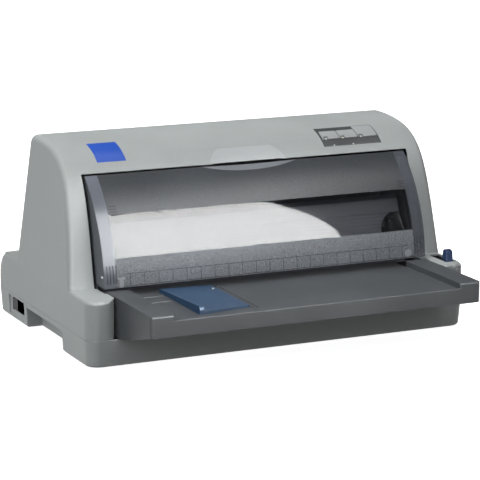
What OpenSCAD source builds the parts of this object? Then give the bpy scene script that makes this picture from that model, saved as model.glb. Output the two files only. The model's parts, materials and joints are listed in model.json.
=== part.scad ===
// Flat-bed dot matrix printer with a hinged smoke cover, a detachable front tray,
// a shuttle carriage on a round shaft, a geared paper drive and a rear push tractor.
// X runs to the right as seen from the front, Y to the rear and Z up.
// The origin is under the middle of the whole machine, on the surface it stands on.

/* [Body] */
// Width across the side faces
body_w = 468; // [452:1:570]
// Depth of the body without the front tray
body_d = 298; // [290:0.5:360]
// Height from the standing surface to the top of the hood
body_h = 227; // [222:0.5:275]
// Wall thickness of the casings
wall = 2.5; // [2:0.1:3.2]
// Height of the joint between the lower and the upper case
parting_z = 31.6; // [31:0.1:34]
// Height of the shoulders beside the tray
shoulder_z = 76; // [75:0.5:78]
// Radius of the upright corners of the casings
corner_r = 14; // [8:0.5:20]
// Radius along the front and side edges of the shoulders
shoulder_r = 5; // [3:0.5:6]
// Radius along the rear edge of the shelf
rear_edge_r = 30; // [24:0.5:31]
// How much narrower the lower case is at its foot, each side
foot_draft = 1.5; // [0.5:0.1:3]

/* [Hood] */
// Set-back of the hood's foot behind the front face
hood_front = 57; // [54:0.5:60]
// Height at which the hood rises out of the shoulders
hood_foot_z = 70; // [68:0.5:72]
// Backward lean of the hood's front at its foot, degrees
hood_lean = 12; // [9:0.5:15]
// Length of the lower handle of the hood's front curve
hood_pull_low = 130; // [115:1:140]
// Length of the upper handle of the hood's front curve
hood_pull_top = 109; // [90:1:115]
// Forward lean of the hood's rear wall, degrees
rear_lean = 10; // [8:0.2:14]
// Radius along the top rear edge of the hood
crown_r = 12; // [8:0.5:15]
// Inward lean of the hood's ends, degrees
end_lean = 3.8; // [2:0.1:5]
// Radius along the edges of the hood's ends
hood_edge_r = 6.5; // [5:0.5:12]
// Depth of the shelf behind the hood
shelf_depth = 67; // [60:0.5:72]
// Rise of the shelf where it meets the hood
shelf_rise = 9; // [6:0.5:10]

/* [Cover] */
// Width of the pillars beside the cover opening
pillar_w = 30; // [26:0.5:32]
// Gap between a pillar and the side of the cover
cover_gap = 3.4; // [2:0.1:4]
// Thickness of the smoke cover
cover_t = 2.4; // [2:0.1:3]
// Radius of the cover's front curve
cover_r = 168; // [155:1:220]
// Set-back of the cover's lower edge behind the front face
cover_foot_d = 36.2; // [35:0.2:38]
// Height of the cover's lower edge
cover_foot_z = 79; // [79:0.2:80.5]
// Place of the cover's top edge along the hood's front curve
cover_top_t = 0.49; // [0.46:0.01:0.52]
// Gap above the cover's top edge
cover_top_gap = 1.4; // [1:0.1:2]
// How far the cover's side walls reach behind the pillars
cover_cheek = 15; // [10:0.5:17]
// Set-back of the cover's pivots
cover_pivot_d = 45; // [44.5:0.5:46]
// Height of the cover's pivots
cover_pivot_z = 90; // [89:0.5:91]
// Radius of the cover's pivot pins
cover_pin_r = 3; // [2:0.1:3]
// Half-width of the finger scoop
scoop_half = 60; // [40:1:70]
// Reach of the finger scoop above and below the cover's top edge
scoop_reach = 40; // [30:1:50]
// Depth of the finger scoop
scoop_depth = 1.6; // [1:0.1:2]

/* [Tray] */
// Reach of the tray ahead of the front face
tray_reach = 90.6; // [85:0.2:110]
// Width of a shoulder beside the tray
shoulder_w = 34; // [33:0.5:35]
// Gap between a shoulder and the tray
tray_gap = 0.6; // [0.4:0.1:1]
// Thickness of the tray's walls
tray_wall = 2.2; // [1.8:0.1:2.6]
// Height of the tray's deck
deck_z = 70; // [69.5:0.1:70.2]
// Height of the tray's side rails
rail_z = 77; // [76:0.2:77.5]
// Width of a side rail
rail_w = 26.1; // [22:0.1:30]
// Height of the tray's front lip
lip_z = 71; // [70.5:0.1:72]
// Height of the lower edge of the tray's front
tray_foot_z = 53.2; // [50:0.2:56]
// Height to which the tray's sides reach down at the body
gusset_z = 32; // [32:0.5:40]
// Width of the edge guide
guide_w = 63; // [50:1:70]
// Length of the edge guide
guide_len = 110; // [90:1:112]
// Distance of the edge guide's left side from the left rail
guide_inset = 36.3; // [30:0.5:40]
// Travel of the edge guide towards the left rail
guide_travel = 27; // [10:1:28]
// Height of the edge guide's wall above the deck
guide_wall_h = 9; // [6:0.5:10]

/* [Paper path] */
// Distance of the print line behind the front face
print_d = 146; // [145:0.5:147]
// Distance between the print line and a feed shaft
feed_pitch = 24; // [24:0.1:24.2]
// Height of the feed shafts
feed_z = 63; // [63:0.1:63.2]
// Radius of the driven feed rollers
feed_r = 7.2; // [6.8:0.1:7.3]
// Radius of the pinch rollers
pinch_r = 5.5; // [4.5:0.1:6]
// Radius of the feed shafts
feed_shaft_r = 4; // [3:0.1:4.5]
// Radius of the pinch shafts
pinch_shaft_r = 2.5; // [2:0.1:3]
// Gear module of the paper drive
gear_m = 1; // [1:0.01:1.01]
// Thickness of the gears
gear_t = 5; // [4:0.1:6]
// Width of a tractor
tractor_w = 22; // [18:0.5:26]
// Distance of a tractor's middle from the machine's middle
tractor_x = 122; // [110:1:124]
// Half the side of the square tractor shaft
tractor_shaft_half = 3; // [2.5:0.1:3.5]

/* [Carriage] */
// Radius of the carriage shaft
shaft_r = 6; // [5:0.1:7]
// Distance of the carriage shaft behind the print line
shaft_back = 26; // [25:0.5:27]
// Height of the carriage shaft
shaft_z = 98; // [98:0.5:100]
// Width of the carriage
carriage_w = 64; // [50:1:70]
// Width of the ribbon cartridge
cartridge_w = 92; // [84:1:94]
// Distance of the resting carriage from the machine's middle
carriage_home = 130; // [120:1:132]
// Radius of the belt pulleys
pulley_r = 7; // [6:0.1:7.5]
// Distance of the pulleys from the machine's middle
pulley_x = 168; // [160:1:169]

/* [Controls] */
// Width of the control panel
panel_w = 74.5; // [70:0.5:76]
// Distance of the control panel's left end from the machine's middle
panel_x = 101.5; // [98:0.5:104]
// Width of the badge
badge_w = 34.5; // [30:0.5:40]
// Distance of the badge's left end from the left side
badge_inset = 53; // [50:0.5:60]
// Travel of a button
button_travel = 0.8; // [0.5:0.1:1]
// Width of the release lever
lever_w = 10; // [8:0.5:11]
// Throw of the release lever, degrees
lever_throw = 26; // [20:1:27]
// Length of the power rocker
rocker_len = 33; // [28:0.5:34]
// Height of the power rocker
rocker_h = 14.5; // [12:0.5:16]
// Throw of the power rocker, degrees
rocker_throw = 12; // [8:1:14]

/* [Fits] */
// Running clearance of a shaft in its bore
run_gap = 0.05; // [0.02:0.01:0.09]
// Gap between pieces that move past each other
pass_gap = 0.4; // [0.3:0.05:0.5]
// Drop of the rubber feet below the lower case
foot_drop = 1.5; // [1:0.1:2]
// Thickness of the sheet metal
sheet_t = 2; // [1.6:0.1:2.2]

/* [Hidden] */
$fn = 48;
eps = 0.01;
slab = 0.2;
over = 1;
pinch_gap = 0.3;
curve_steps = 20;
edge_steps = 4;

// Widths across the machine
half_w = body_w / 2;
opening_half = half_w - pillar_w;
cover_half = opening_half - cover_gap;
notch_half = half_w - shoulder_w;
tray_half = notch_half - tray_gap;
frame_gap = 3.6;
frame_half = cover_half - cover_t - frame_gap;
frame_in = frame_half - sheet_t;

// Places from front to rear
front_y = (tray_reach - body_d) / 2;
floor_z = foot_drop + wall;
hood_rear = body_d - shelf_depth;
front_shaft_d = print_d - feed_pitch;
rear_shaft_d = print_d + feed_pitch;
pinch_z = feed_z + feed_r + pinch_gap + pinch_r;
shaft_d = print_d + shaft_back;
belt_d = shaft_d + 25;

// Frame heights
pan_z = 8;
pan_t = 1.5;
frame_top = 150;
beam_z = 106;

// Hood outline: a cubic curve at the front, a crown arc and a leaning rear wall
crown_d = hood_rear - (body_h - crown_r - hood_foot_z) * tan(rear_lean) - crown_r / cos(rear_lean);
hood_p0 = [hood_front, hood_foot_z];
hood_p1 = hood_p0 + hood_pull_low * [sin(hood_lean), cos(hood_lean)];
hood_p3 = [crown_d, body_h];
hood_p2 = hood_p3 - [hood_pull_top, 0];

function unit(v) = v / norm(v);
function turned(v) = [v[1], -v[0]];
function hood_point(t) =
    pow(1 - t, 3) * hood_p0 + 3 * t * pow(1 - t, 2) * hood_p1
    + 3 * t * t * (1 - t) * hood_p2 + pow(t, 3) * hood_p3;
function hood_slope(t) =
    unit(pow(1 - t, 2) * (hood_p1 - hood_p0) + 2 * t * (1 - t) * (hood_p2 - hood_p1)
    + t * t * (hood_p3 - hood_p2));
function hood_inner(t, inset) = hood_point(t) + inset * turned(hood_slope(t));
function above(p, z) = [p[0], max(p[1], z)];
function hood_curve(inset, t0 = 0, t1 = 1) =
    [for (i = [0 : curve_steps]) hood_inner(t0 + (t1 - t0) * i / curve_steps, inset)];
function hood_outline(inset) = concat(
    [for (p = hood_curve(inset)) above(p, hood_foot_z)],
    [for (i = [1 : 6]) let (a = 90 - (90 - rear_lean) * i / 6)
        [crown_d, body_h - crown_r] + (crown_r - inset) * [cos(a), sin(a)]],
    [[hood_rear - inset / cos(rear_lean), hood_foot_z]]
);

// Cover outline: one arc from its foot to the hood's front curve
cover_foot = [cover_foot_d, cover_foot_z];
cover_top = hood_point(cover_top_t);
cover_chord = cover_top - cover_foot;
cover_centre = (cover_foot + cover_top) / 2
    + turned(unit(cover_chord)) * sqrt(cover_r * cover_r - pow(norm(cover_chord) / 2, 2));
function angle_of(p) = atan2(p[1], p[0]);
cover_a0 = angle_of(cover_foot - cover_centre) + (cover_foot[1] < cover_centre[1] ? 360 : 0);
cover_a1 = angle_of(cover_top - cover_centre);
function cover_arc(inset, f0 = 0, f1 = 1) =
    [for (i = [0 : curve_steps]) let (f = f0 + (f1 - f0) * i / curve_steps,
        a = cover_a0 + (cover_a1 - cover_a0) * f)
        cover_centre + (cover_r - inset) * [cos(a), sin(a)]];
function reversed(list) = [for (i = [len(list) - 1 : -1 : 0]) list[i]];
function band(outer, inner) = concat(outer, reversed(inner));

// Gear train of the paper drive, seen from the right
feed_teeth = 24;
pinion_teeth = 12;
tractor_idler_teeth = 48;
function pitch_r(teeth) = gear_m * teeth / 2;
tractor_drop = 9.6;
tractor_dir = [cos(tractor_drop), -sin(tractor_drop)];
rear_shaft = [rear_shaft_d, feed_z];
tractor_idler_at = rear_shaft + (pitch_r(feed_teeth) + pitch_r(tractor_idler_teeth)) * tractor_dir;
tractor_at = tractor_idler_at + (pitch_r(feed_teeth) + pitch_r(tractor_idler_teeth)) * tractor_dir;
pinion_at = [print_d, feed_z - pitch_r(feed_teeth) - pitch_r(pinion_teeth)];
gear_x = frame_half + 1.5;

// Release lever
lever_x = half_w - 13;
lever_pivot = [32, 40];
lever_reach = 50.5;
lever_lean = 14;

// ---------------------------------------------------------------- helpers

// Extrudes an outline drawn as (distance behind the front face, height) from x0 to x1
module across(x0, x1) {
    translate([x0, front_y, 0])
        rotate([90, 0, 90])
            linear_extrude(x1 - x0)
                children();
}

// Extrudes an outline drawn as (X, height) from the depth d0 to d1
module along(d0, d1) {
    translate([0, front_y + d1, 0])
        rotate([90, 0, 0])
            linear_extrude(d1 - d0)
                children();
}

// A round bar along X
module bar_x(x0, x1, d, z, r) {
    translate([x0, front_y + d, z])
        rotate([0, 90, 0])
            cylinder(r = r, h = x1 - x0);
}

// A block given by its two ends in X, in depth and in height
module block(x0, x1, d0, d1, z0, z1) {
    translate([x0, front_y + d0, z0])
        cube([x1 - x0, d1 - d0, z1 - z0]);
}

// A round post or hole along Z
module post(x, d, z0, z1, r) {
    translate([x, front_y + d, z0])
        cylinder(r = r, h = z1 - z0);
}

module both_sides() {
    children();
    mirror([1, 0, 0])
        children();
}

// An involute-like spur gear with a tooth centred on the angle phase
module spur(teeth, phase) {
    pitch = 360 / teeth;
    r = pitch_r(teeth);
    polygon([for (i = [0 : teeth - 1], k = [0 : 3])
        let (a = phase + i * pitch + pitch * [-0.27, -0.1, 0.1, 0.27][k],
            q = r + gear_m * [-1.15, 0.85, 0.85, -1.15][k])
        q * [cos(a), sin(a)]]);
}

// A gear on a bore, with its outline in the depth-height plane
module gear(teeth, phase, at, x0, bore_r) {
    across(x0, x0 + gear_t)
        translate(at)
            difference() {
                spur(teeth, phase);
                circle(r = bore_r);
            }
}

// ---------------------------------------------------------------- casings

// The upright, rounded block below the hood, with its foot at z0
module base_form(inset, z0) {
    top = shoulder_z - inset;
    rear_r = rear_edge_r - inset;
    side_r = shoulder_r - inset;
    hull() {
        base_corners(inset, z0, z0 + slab, 0, 0);
        // the rounded front and side edges
        for (i = [0 : 3]) {
            z = top - side_r + side_r * sin(30 * i);
            base_corners(inset, z - slab, z, edge_in(z, top, side_r), edge_in(z, top, rear_r));
        }
        // the larger rounding of the rear edge
        for (i = [0 : 5]) {
            z = top - rear_r + rear_r * sin(11 * i);
            base_corners(inset, z - slab, z, 0, edge_in(z, top, rear_r), true);
        }
    }
}

// Thin upright rolls at the block's four corners, or at the rear two only
module base_corners(inset, z0, z1, side_in, rear_in, rear_only = false) {
    r = corner_r - inset;
    front = rear_only ? [] : [inset + side_in + r];
    for (x = [-1, 1], d = concat(front, [body_d - inset - rear_in - r]))
        translate([x * (half_w - inset - side_in - r), front_y + d, z0])
            cylinder(r = r, h = z1 - z0, $fn = 32);
}

// How far a rounded edge of radius r draws in at height z below the height top
function edge_in(z, top, r) =
    z <= top - r ? 0 : r - sqrt(max(r * r - pow(z - top + r, 2), 0));

// The hood: rings of its outline from the left end to the right, closed by two end caps
module hood_form(inset) {
    angles = [for (i = [0 : edge_steps]) 90 * i / edge_steps];
    rings = concat([for (a = angles) hood_ring(-1, a, inset)],
        [for (a = reversed(angles)) hood_ring(1, a, inset)]);
    n = len(rings[0]);
    last = (len(rings) - 1) * n;
    polyhedron(
        points = [for (ring = rings, p = ring) p],
        faces = concat(
            [[for (i = [n - 1 : -1 : 0]) i], [for (i = [0 : n - 1]) last + i]],
            [for (j = [0 : len(rings) - 2], i = [0 : n - 1], half = [0, 1])
                let (a = j * n + i, b = j * n + (i + 1) % n)
                half == 0 ? [a, b, b + n] : [a, b + n, a + n]]
        )
    );
}

// One ring of the hood at the angle a around the rounded edge of an end
function hood_ring(side, a, inset) =
    let (r = hood_edge_r - inset, slant = tan(end_lean),
        x = half_w - inset - r * (1 - cos(a)) + hood_foot_z * slant)
    [for (p = hood_outline(inset + r * (1 - sin(a)))) [side * (x - slant * p[1]), front_y + p[0], p[1]]];

// Outline of the sloping shelf behind the hood, down over its rounded rear edge
shelf_end = body_d - rear_edge_r + 3.5;
module shelf_wedge(x0, x1, inset) {
    across(x0, x1)
        polygon([
            [hood_rear - 20, hood_foot_z - inset],
            [hood_rear - 20, shoulder_z + shelf_rise - inset],
            [hood_rear - 5, shoulder_z + shelf_rise - inset],
            [shelf_end, shoulder_z - inset],
            [shelf_end, hood_foot_z - inset]
        ]);
}

// A large cylinder laid at a given slope, which dips into the surface and cuts the finger scoop
module scoop_tool(slope) {
    r = (scoop_half * scoop_half + scoop_depth * scoop_depth) / (2 * scoop_depth);
    translate([0, front_y + cover_top[0], cover_top[1]])
        rotate([slope - 90, 0, 0])
            translate([0, -r + scoop_depth, -scoop_reach])
                cylinder(r = r, h = 2 * scoop_reach, $fn = 720);
}

rear_bay_half = opening_half;
rear_bay_z = 44;
rear_bay_front = hood_rear + 0.2;
lever_slot = [12, 53];
// Tilt of the finger scoop's floor towards its two ends, degrees
scoop_taper = 8;

// A flat-floored pocket in the hood above the scoop, with gently sloping sides
module scoop_pocket() {
    low = hood_inner(cover_top_t - 0.03, pocket_depth);
    high = hood_point(pocket_top_t);
    run = high - low;
    translate([0, front_y + low[0], low[1]])
        rotate([angle_of(run), 0, 0])
            hull() {
                pocket_slab(norm(run), 0, 0);
                pocket_slab(norm(run), 6, 6);
            }
}
module pocket_slab(len, z, grow) {
    k = grow * pocket_side;
    translate([0, 0, z])
        linear_extrude(slab)
            polygon([[-pocket_foot - k, -6], [pocket_foot + k, -6], [pocket_head + k, len],
                [-pocket_head - k, len]]);
}
pocket_top_t = 0.63;
pocket_depth = 2.2;
pocket_head = 33;
pocket_foot = 46;
pocket_side = 2.5;

// Backing that keeps the hood's wall whole under the pocket
module pocket_backing() {
    across(-pocket_foot - 12, pocket_foot + 12)
        polygon(band(hood_curve(wall - eps, cover_top_t - 0.02, pocket_top_t + 0.02),
            hood_curve(wall + 1.6, cover_top_t - 0.02, pocket_top_t + 0.02)));
}

module upper_case() {
    color("lightgray")
        difference() {
            union() {
                upper_shell();
                shoulder_cheeks();
                shoulder_corners();
                pocket_backing();
                opening_cheeks();
                upper_bosses();
            }
            cover_opening();
            tray_notch();
            both_sides()
                shoulder_rounding();
            rear_bay();
            panel_pocket(panel_x - pass_gap, panel_x + panel_w + pass_gap, panel_t0, panel_t1, panel_depth);
            panel_pocket(badge_x - 0.1, badge_x + badge_w + 0.1, badge_t0, badge_t1, badge_depth);
            for (b = buttons)
                button_hole(b);
            block(lever_x - lever_w / 2 - 1, lever_x + lever_w / 2 + 1,
                lever_slot[0], lever_slot[1], shoulder_z - wall - over, shoulder_z + 10);
            scoop_pocket();
            both_sides()
                bar_x(rear_bay_half - over, rear_bay_half + wall + over, rear_hinge[0],
                    rear_hinge[1], rear_pin_r + run_gap);
            for (side = [-1, 1], p = case_screws)
                post(side * p[0], p[1], parting_z - over, parting_z + 12, screw_core_r);
        }
}

module upper_shell() {
    difference() {
        union() {
            base_form(0, parting_z);
            hood_form(0);
            both_sides()
                shelf_wedge(rear_bay_half + 0.01, half_w - 1.5, 0);
        }
        base_form(wall, parting_z - over);
        hood_form(wall);
    }
    // the shelf's raised ends are closed below by a sloping web
    both_sides()
        difference() {
            shelf_wedge(rear_bay_half + 0.01, half_w - 1.5 - wall, 0);
            shelf_wedge(rear_bay_half, half_w - 1.5, wall);
        }
}

// The inner walls of the shoulders, beside the tray and the rear bay
module shoulder_cheeks() {
    both_sides() {
        block(notch_half, notch_half + wall, corner_r - 1, hood_front + 5, tray_foot_z - 1.2 - wall,
            shoulder_z - cover_relief - 0.5);
        block(rear_bay_half, rear_bay_half + wall, hood_rear - 1, body_d - rear_edge_r,
            rear_bay_z, shoulder_z - 1);
    }
}

// Walls behind the shoulders' rounded inner corners, and the pockets for the tray's side plates
module shoulder_corners() {
    z1 = shoulder_z - 3.5;
    both_sides() {
        difference() {
            block(notch_half, notch_half + corner_r, 0.3, corner_r, parting_z, z1);
            post(notch_half + corner_r, corner_r, parting_z - over, z1 + over, corner_r - wall - 0.3);
        }
        block(notch_half - plate_slot - wall, notch_half + wall, 1, corner_r + 2 + wall, parting_z,
            tray_foot_z - 1.2);
    }
}
plate_slot = 4;

module shoulder_rounding() {
    difference() {
        block(notch_half - over, notch_half + corner_r, -over, corner_r, parting_z - over,
            shoulder_z + over);
        post(notch_half + corner_r, corner_r, parting_z - 2 * over, shoulder_z + 2 * over, corner_r);
    }
    block(notch_half - plate_slot, notch_half, -over, corner_r + 2, parting_z - over,
        tray_foot_z + over);
}

// The returned edges of the cover opening
cheek_back = 32;
module opening_cheeks() {
    both_sides()
        across(opening_half, opening_half + wall)
            polygon(concat(
                [for (p = hood_curve(wall / 2, 0.02, 0.52)) p],
                [for (p = reversed(hood_curve(cheek_back, 0.06, 0.47))) p]
            ));
}

module cover_opening() {
    block(-opening_half, opening_half, -over, cover_top[0] + 12, shoulder_z,
        cover_top[1] + cover_top_gap);
    // relief for the cover's lower corners as they swing
    block(-opening_half, opening_half, cover_foot_d - 6, hood_front + 8, shoulder_z - cover_relief,
        shoulder_z + over);
}
cover_relief = 1.5;

module tray_notch() {
    block(-notch_half, notch_half, -over, hood_front + 8, tray_foot_z - 1.2, shoulder_z + 2);
}

// The gap in the shelf under the rear cover, with the continuous-paper slot below it
module rear_bay() {
    block(-rear_bay_half, rear_bay_half, rear_bay_front, body_d + over, rear_bay_z, shoulder_z + 20);
}

// A pocket of even depth in the hood's front between two places on its curve
module panel_pocket(x0, x1, t0, t1, depth) {
    across(x0, x1)
        polygon(band(hood_curve(-over, t0, t1), hood_curve(depth, t0, t1)));
}

// Screw bosses that hang from the shell to the parting line
case_screws = [[half_w - 25, 12], [half_w - 16, body_d - 40]];
screw_core_r = 1.6;
boss_r = 4.5;
module upper_bosses() {
    for (side = [-1, 1], p = case_screws)
        post(side * p[0], p[1], parting_z, shoulder_z - 1, boss_r);
}

// Hand-holds in the sides of the lower case
hold_d = [83, 198];
hold_depth = 20;
hold_z = 25;
// Power switch in the left side, near the rear
switch_d = [body_d - 92, body_d - 40];
switch_z = [4.5, 28];
switch_depth = 2.5;
switch_block = 10.5;
rocker_at = [body_d - 69.5, 20];
rocker_x = -half_w + 7;
rocker_pin_r = 1.4;
rocker_pin_reach = 2.4;
// Feet and frame screws
feet_x = half_w - 30;
feet_d = [24, body_d - 24];
foot_r = 8;
foot_seat = 1;
frame_boss_x = frame_half - 14;
frame_boss_d = [76, 236];
// Sockets in the rear wall
inlet_x = 150;
inlet_w = 27;
inlet_h = 20;
inlet_z = 6.5;
socket_gap = 0.3;
parallel_x = -120;
parallel_w = 60;
parallel_h = 13;
usb_x = -60;
usb_w = 12;
usb_h = 11;

module lower_case() {
    color("lightgray")
        difference() {
            union() {
                difference() {
                    lower_form(0, foot_drop, parting_z);
                    lower_form(wall, floor_z, parting_z + over);
                }
                intersection() {
                    lower_form(0, foot_drop, parting_z);
                    union() {
                        both_sides()
                            block(half_w - hold_depth - wall, half_w, hold_d[0] - wall,
                                hold_d[1] + wall, foot_drop, hold_z + wall);
                        block(-half_w, -half_w + switch_block, switch_d[0] - wall,
                            switch_d[1] + wall, foot_drop, parting_z - 1);
                    }
                }
                for (x = [-1, 1], d = frame_boss_d)
                    post(x * frame_boss_x, d, floor_z - eps, pan_z, boss_r);
                for (side = [-1, 1], p = case_screws)
                    post(side * p[0], p[1], floor_z - eps, parting_z, boss_r);
            }
            both_sides()
                block(half_w - hold_depth, half_w + over, hold_d[0], hold_d[1], -over, hold_z);
            block(-half_w - over, -half_w + switch_depth + 1, switch_d[0], switch_d[1],
                switch_z[0], switch_z[1]);
            block(-half_w - over, -half_w + switch_block + over, rocker_at[0] - rocker_len / 2 - 1.5,
                rocker_at[0] + rocker_len / 2 + 1.5, rocker_at[1] - rocker_h / 2 - 0.4,
                rocker_at[1] + rocker_h / 2 + 0.4);
            post(rocker_x, rocker_at[0], rocker_at[1] - rocker_h / 2 - rocker_pin_reach - 0.2,
                rocker_at[1] + rocker_h / 2 + rocker_pin_reach + 0.2, rocker_pin_r + run_gap);
            for (x = [-1, 1], d = frame_boss_d)
                post(x * frame_boss_x, d, foot_drop - over, pan_z + over, screw_core_r);
            for (side = [-1, 1], p = case_screws) {
                post(side * p[0], p[1], foot_drop - over, parting_z + over, screw_core_r);
                post(side * p[0], p[1], foot_drop - over, screw_seat_z, screw_head_r + 0.4);
            }
            for (x = [-1, 1], d = feet_d)
                post(x * feet_x, d, foot_drop - over, foot_drop + foot_seat, foot_r + 0.2);
            socket_hole(inlet_x, inlet_w, inlet_z, inlet_h);
            socket_hole(parallel_x, parallel_w, board_top_z, parallel_h);
            socket_hole(usb_x, usb_w, board_top_z, usb_h);
            // cooling slots under the power supply
            for (i = [0 : 9])
                block(30 + 11 * i, 34 + 11 * i, 110, 190, foot_drop - over, floor_z + over);
        }
}

// Screws that go up through the lower case into the bosses of the upper case
screw_head_r = 3;
screw_head_h = 2.4;
screw_seat_z = 9;
module case_screws() {
    color("gray")
        for (side = [-1, 1], p = case_screws) {
            post(side * p[0], p[1], screw_seat_z - screw_head_h, screw_seat_z, screw_head_r);
            post(side * p[0], p[1], screw_seat_z - eps, parting_z + 10, screw_core_r);
        }
}

module lower_form(inset, z0, z1) {
    r = corner_r - inset;
    hull()
        for (level = [[z0, foot_draft + inset + 1.5], [z0 + 2, foot_draft + inset], [z1, inset]],
            x = [-1, 1], d = [level[1] + r, body_d - level[1] - r])
            translate([x * (half_w - level[1] - r), front_y + d, level[0] - (level[0] > z0 ? eps : 0)])
                cylinder(r = r, h = eps, $fn = 32);
}

module socket_hole(x, w, z, h) {
    block(x - w / 2 - socket_gap, x + w / 2 + socket_gap, body_d - 3 * wall, body_d + over,
        z - socket_gap, min(z + h + socket_gap, parting_z - 0.6));
}

module rubber_feet() {
    color("dimgray")
        for (x = [-1, 1], d = feet_d)
            post(x * feet_x, d, 0, foot_drop + foot_seat, foot_r);
}

// ---------------------------------------------------------------- front tray and guide

gusset_start = -tray_reach + 5;
slot_front = 33;

module front_tray() {
    color("dimgray")
        difference() {
            union() {
                // hollow side rails with deep, curved gussets
                both_sides()
                    difference() {
                        across(tray_half - rail_w, tray_half)
                            polygon(rail_outline(0));
                        across(tray_half - rail_w + tray_wall, tray_half - tray_wall)
                            polygon(rail_outline(tray_wall));
                    }
                // side plates that enter the pockets beside the shoulders
                both_sides()
                    across(tray_half - tray_wall, tray_half)
                        polygon([[-6, gusset_z + 3], [-6, tray_foot_z + 4], [corner_r, tray_foot_z + 4],
                            [corner_r, gusset_z + 0.4], [0, gusset_z]]);
                // deck and front lip
                block(-tray_half + rail_w - eps, tray_half - rail_w + eps, -tray_reach + tray_wall - eps,
                    deck_rear, deck_z - tray_wall, deck_z);
                block(-tray_half + rail_w - eps, tray_half - rail_w + eps, -tray_reach,
                    -tray_reach + tray_wall, tray_foot_z, lip_z);
                // stiffening ribs below the deck
                for (x = [-95, -30, 35, 100])
                    block(x - 1, x + 1, -tray_reach + tray_wall - eps, -2, tray_foot_z + 4,
                        deck_z - tray_wall + eps);
            }
            // cross grooves in which the edge guide slides
            for (d = guide_grooves)
                block(-tray_half + rail_w + 8, guide_x + guide_w - 2, d - 1.5, d + 1.5,
                    deck_z - tray_wall - over, deck_z + over);
            // the shallow line that bounds the guide's field
            block(guide_x + guide_w + 1.5, guide_x + guide_w + 3, -80, 24, deck_z - 0.6, deck_z + over);
            tray_corner(1);
            tray_corner(-1);
        }
}

// Side view of a rail, drawn inwards by inset; its underside stays open
function rail_outline(inset) = concat(
    [[-tray_reach + inset, tray_foot_z - (inset > 0 ? over : 0)]],
    [[-tray_reach + inset, rail_z - inset - (inset > 0 ? 0 : 1.5)]],
    [[-tray_reach + inset + (inset > 0 ? 0 : 1.5), rail_z - inset]],
    [[slot_front - inset, rail_z - inset]],
    [[slot_front - inset, tray_foot_z + 2 - (inset > 0 ? 3 : 0)]],
    inset > 0 ? [[-inset, tray_foot_z - 1]] : [[0, tray_foot_z + 2]],
    [for (i = [0 : 8]) let (t = i / 8) gusset_point(t) - (inset > 0 ? [inset * (1 - t), over] : [0, 0])]
);
// The gusset's lower edge runs from the body to the tray's flat underside
function gusset_point(t) =
    pow(1 - t, 2) * [0, gusset_z] + 2 * t * (1 - t) * [gusset_start * 0.2, gusset_z + 1]
    + t * t * [gusset_start, tray_foot_z];

// Rounds an upright front corner of the tray
tray_corner_r = 4;
module tray_corner(side) {
    x = side * (tray_half - tray_corner_r);
    d = -tray_reach + tray_corner_r;
    difference() {
        block(min(x, x + side * (tray_corner_r + over)), max(x, x + side * (tray_corner_r + over)),
            d - tray_corner_r - over, d, tray_foot_z - over, rail_z + over);
        post(x, d, tray_foot_z - 2 * over, rail_z + 2 * over, tray_corner_r);
    }
}

deck_rear = 61;
guide_x = -tray_half + rail_w + guide_inset;
guide_grooves = [18, -7];
guide_front = -76;

module edge_guide() {
    color("steelblue") {
        z = deck_z + 0.3;
        // plate that slopes down to the right, with a low wall on its left
        difference() {
            union() {
                along(guide_front, guide_front + guide_len)
                    polygon(guide_profile(z));
                across(guide_x, guide_x + 5)
                    polygon(guide_wall_side(z));
            }
            // slanted front edge
            translate([guide_x + 6, front_y + guide_front, z - over])
                rotate([0, 0, guide_slant])
                    translate([0, -20, 0])
                        cube([guide_w + 20, 20, 20]);
        }
        // necks and feet that hold it in the cross grooves
        for (d = guide_grooves) {
            block(guide_x + 14, guide_x + 26, d - 1.1, d + 1.1, deck_z - tray_wall - 1.6, z + eps);
            block(guide_x + 14, guide_x + 26, d - 3, d + 3, deck_z - tray_wall - 2.6,
                deck_z - tray_wall - 0.6);
        }
    }
}

function guide_profile(z) = [
    [guide_x, z], [guide_x, z + 3.4], [guide_x + guide_w - 1, z + 2.2], [guide_x + guide_w, z + 1.4],
    [guide_x + guide_w, z]
];
// The wall along the guide's left edge rises to a rounded grip at the front
function guide_wall_side(z) = concat(
    [[guide_front + guide_len, z], [guide_front + guide_len, z + 3.8]],
    [for (a = [78 : 12 : 210]) [guide_front + 5.2, deck_z + guide_wall_h - 5] + 5 * [cos(a), sin(a)]],
    [[guide_front, z]]
);
guide_slant = 8.5;

// ---------------------------------------------------------------- front cover

module cover_section(x0, x1, inset0, inset1, f0 = 0, f1 = 1) {
    across(x0, x1)
        polygon(band(cover_arc(inset0, f0, f1), cover_arc(inset1, f0, f1)));
}

rib_pitch = 17;
rib_reach = 8;

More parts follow.
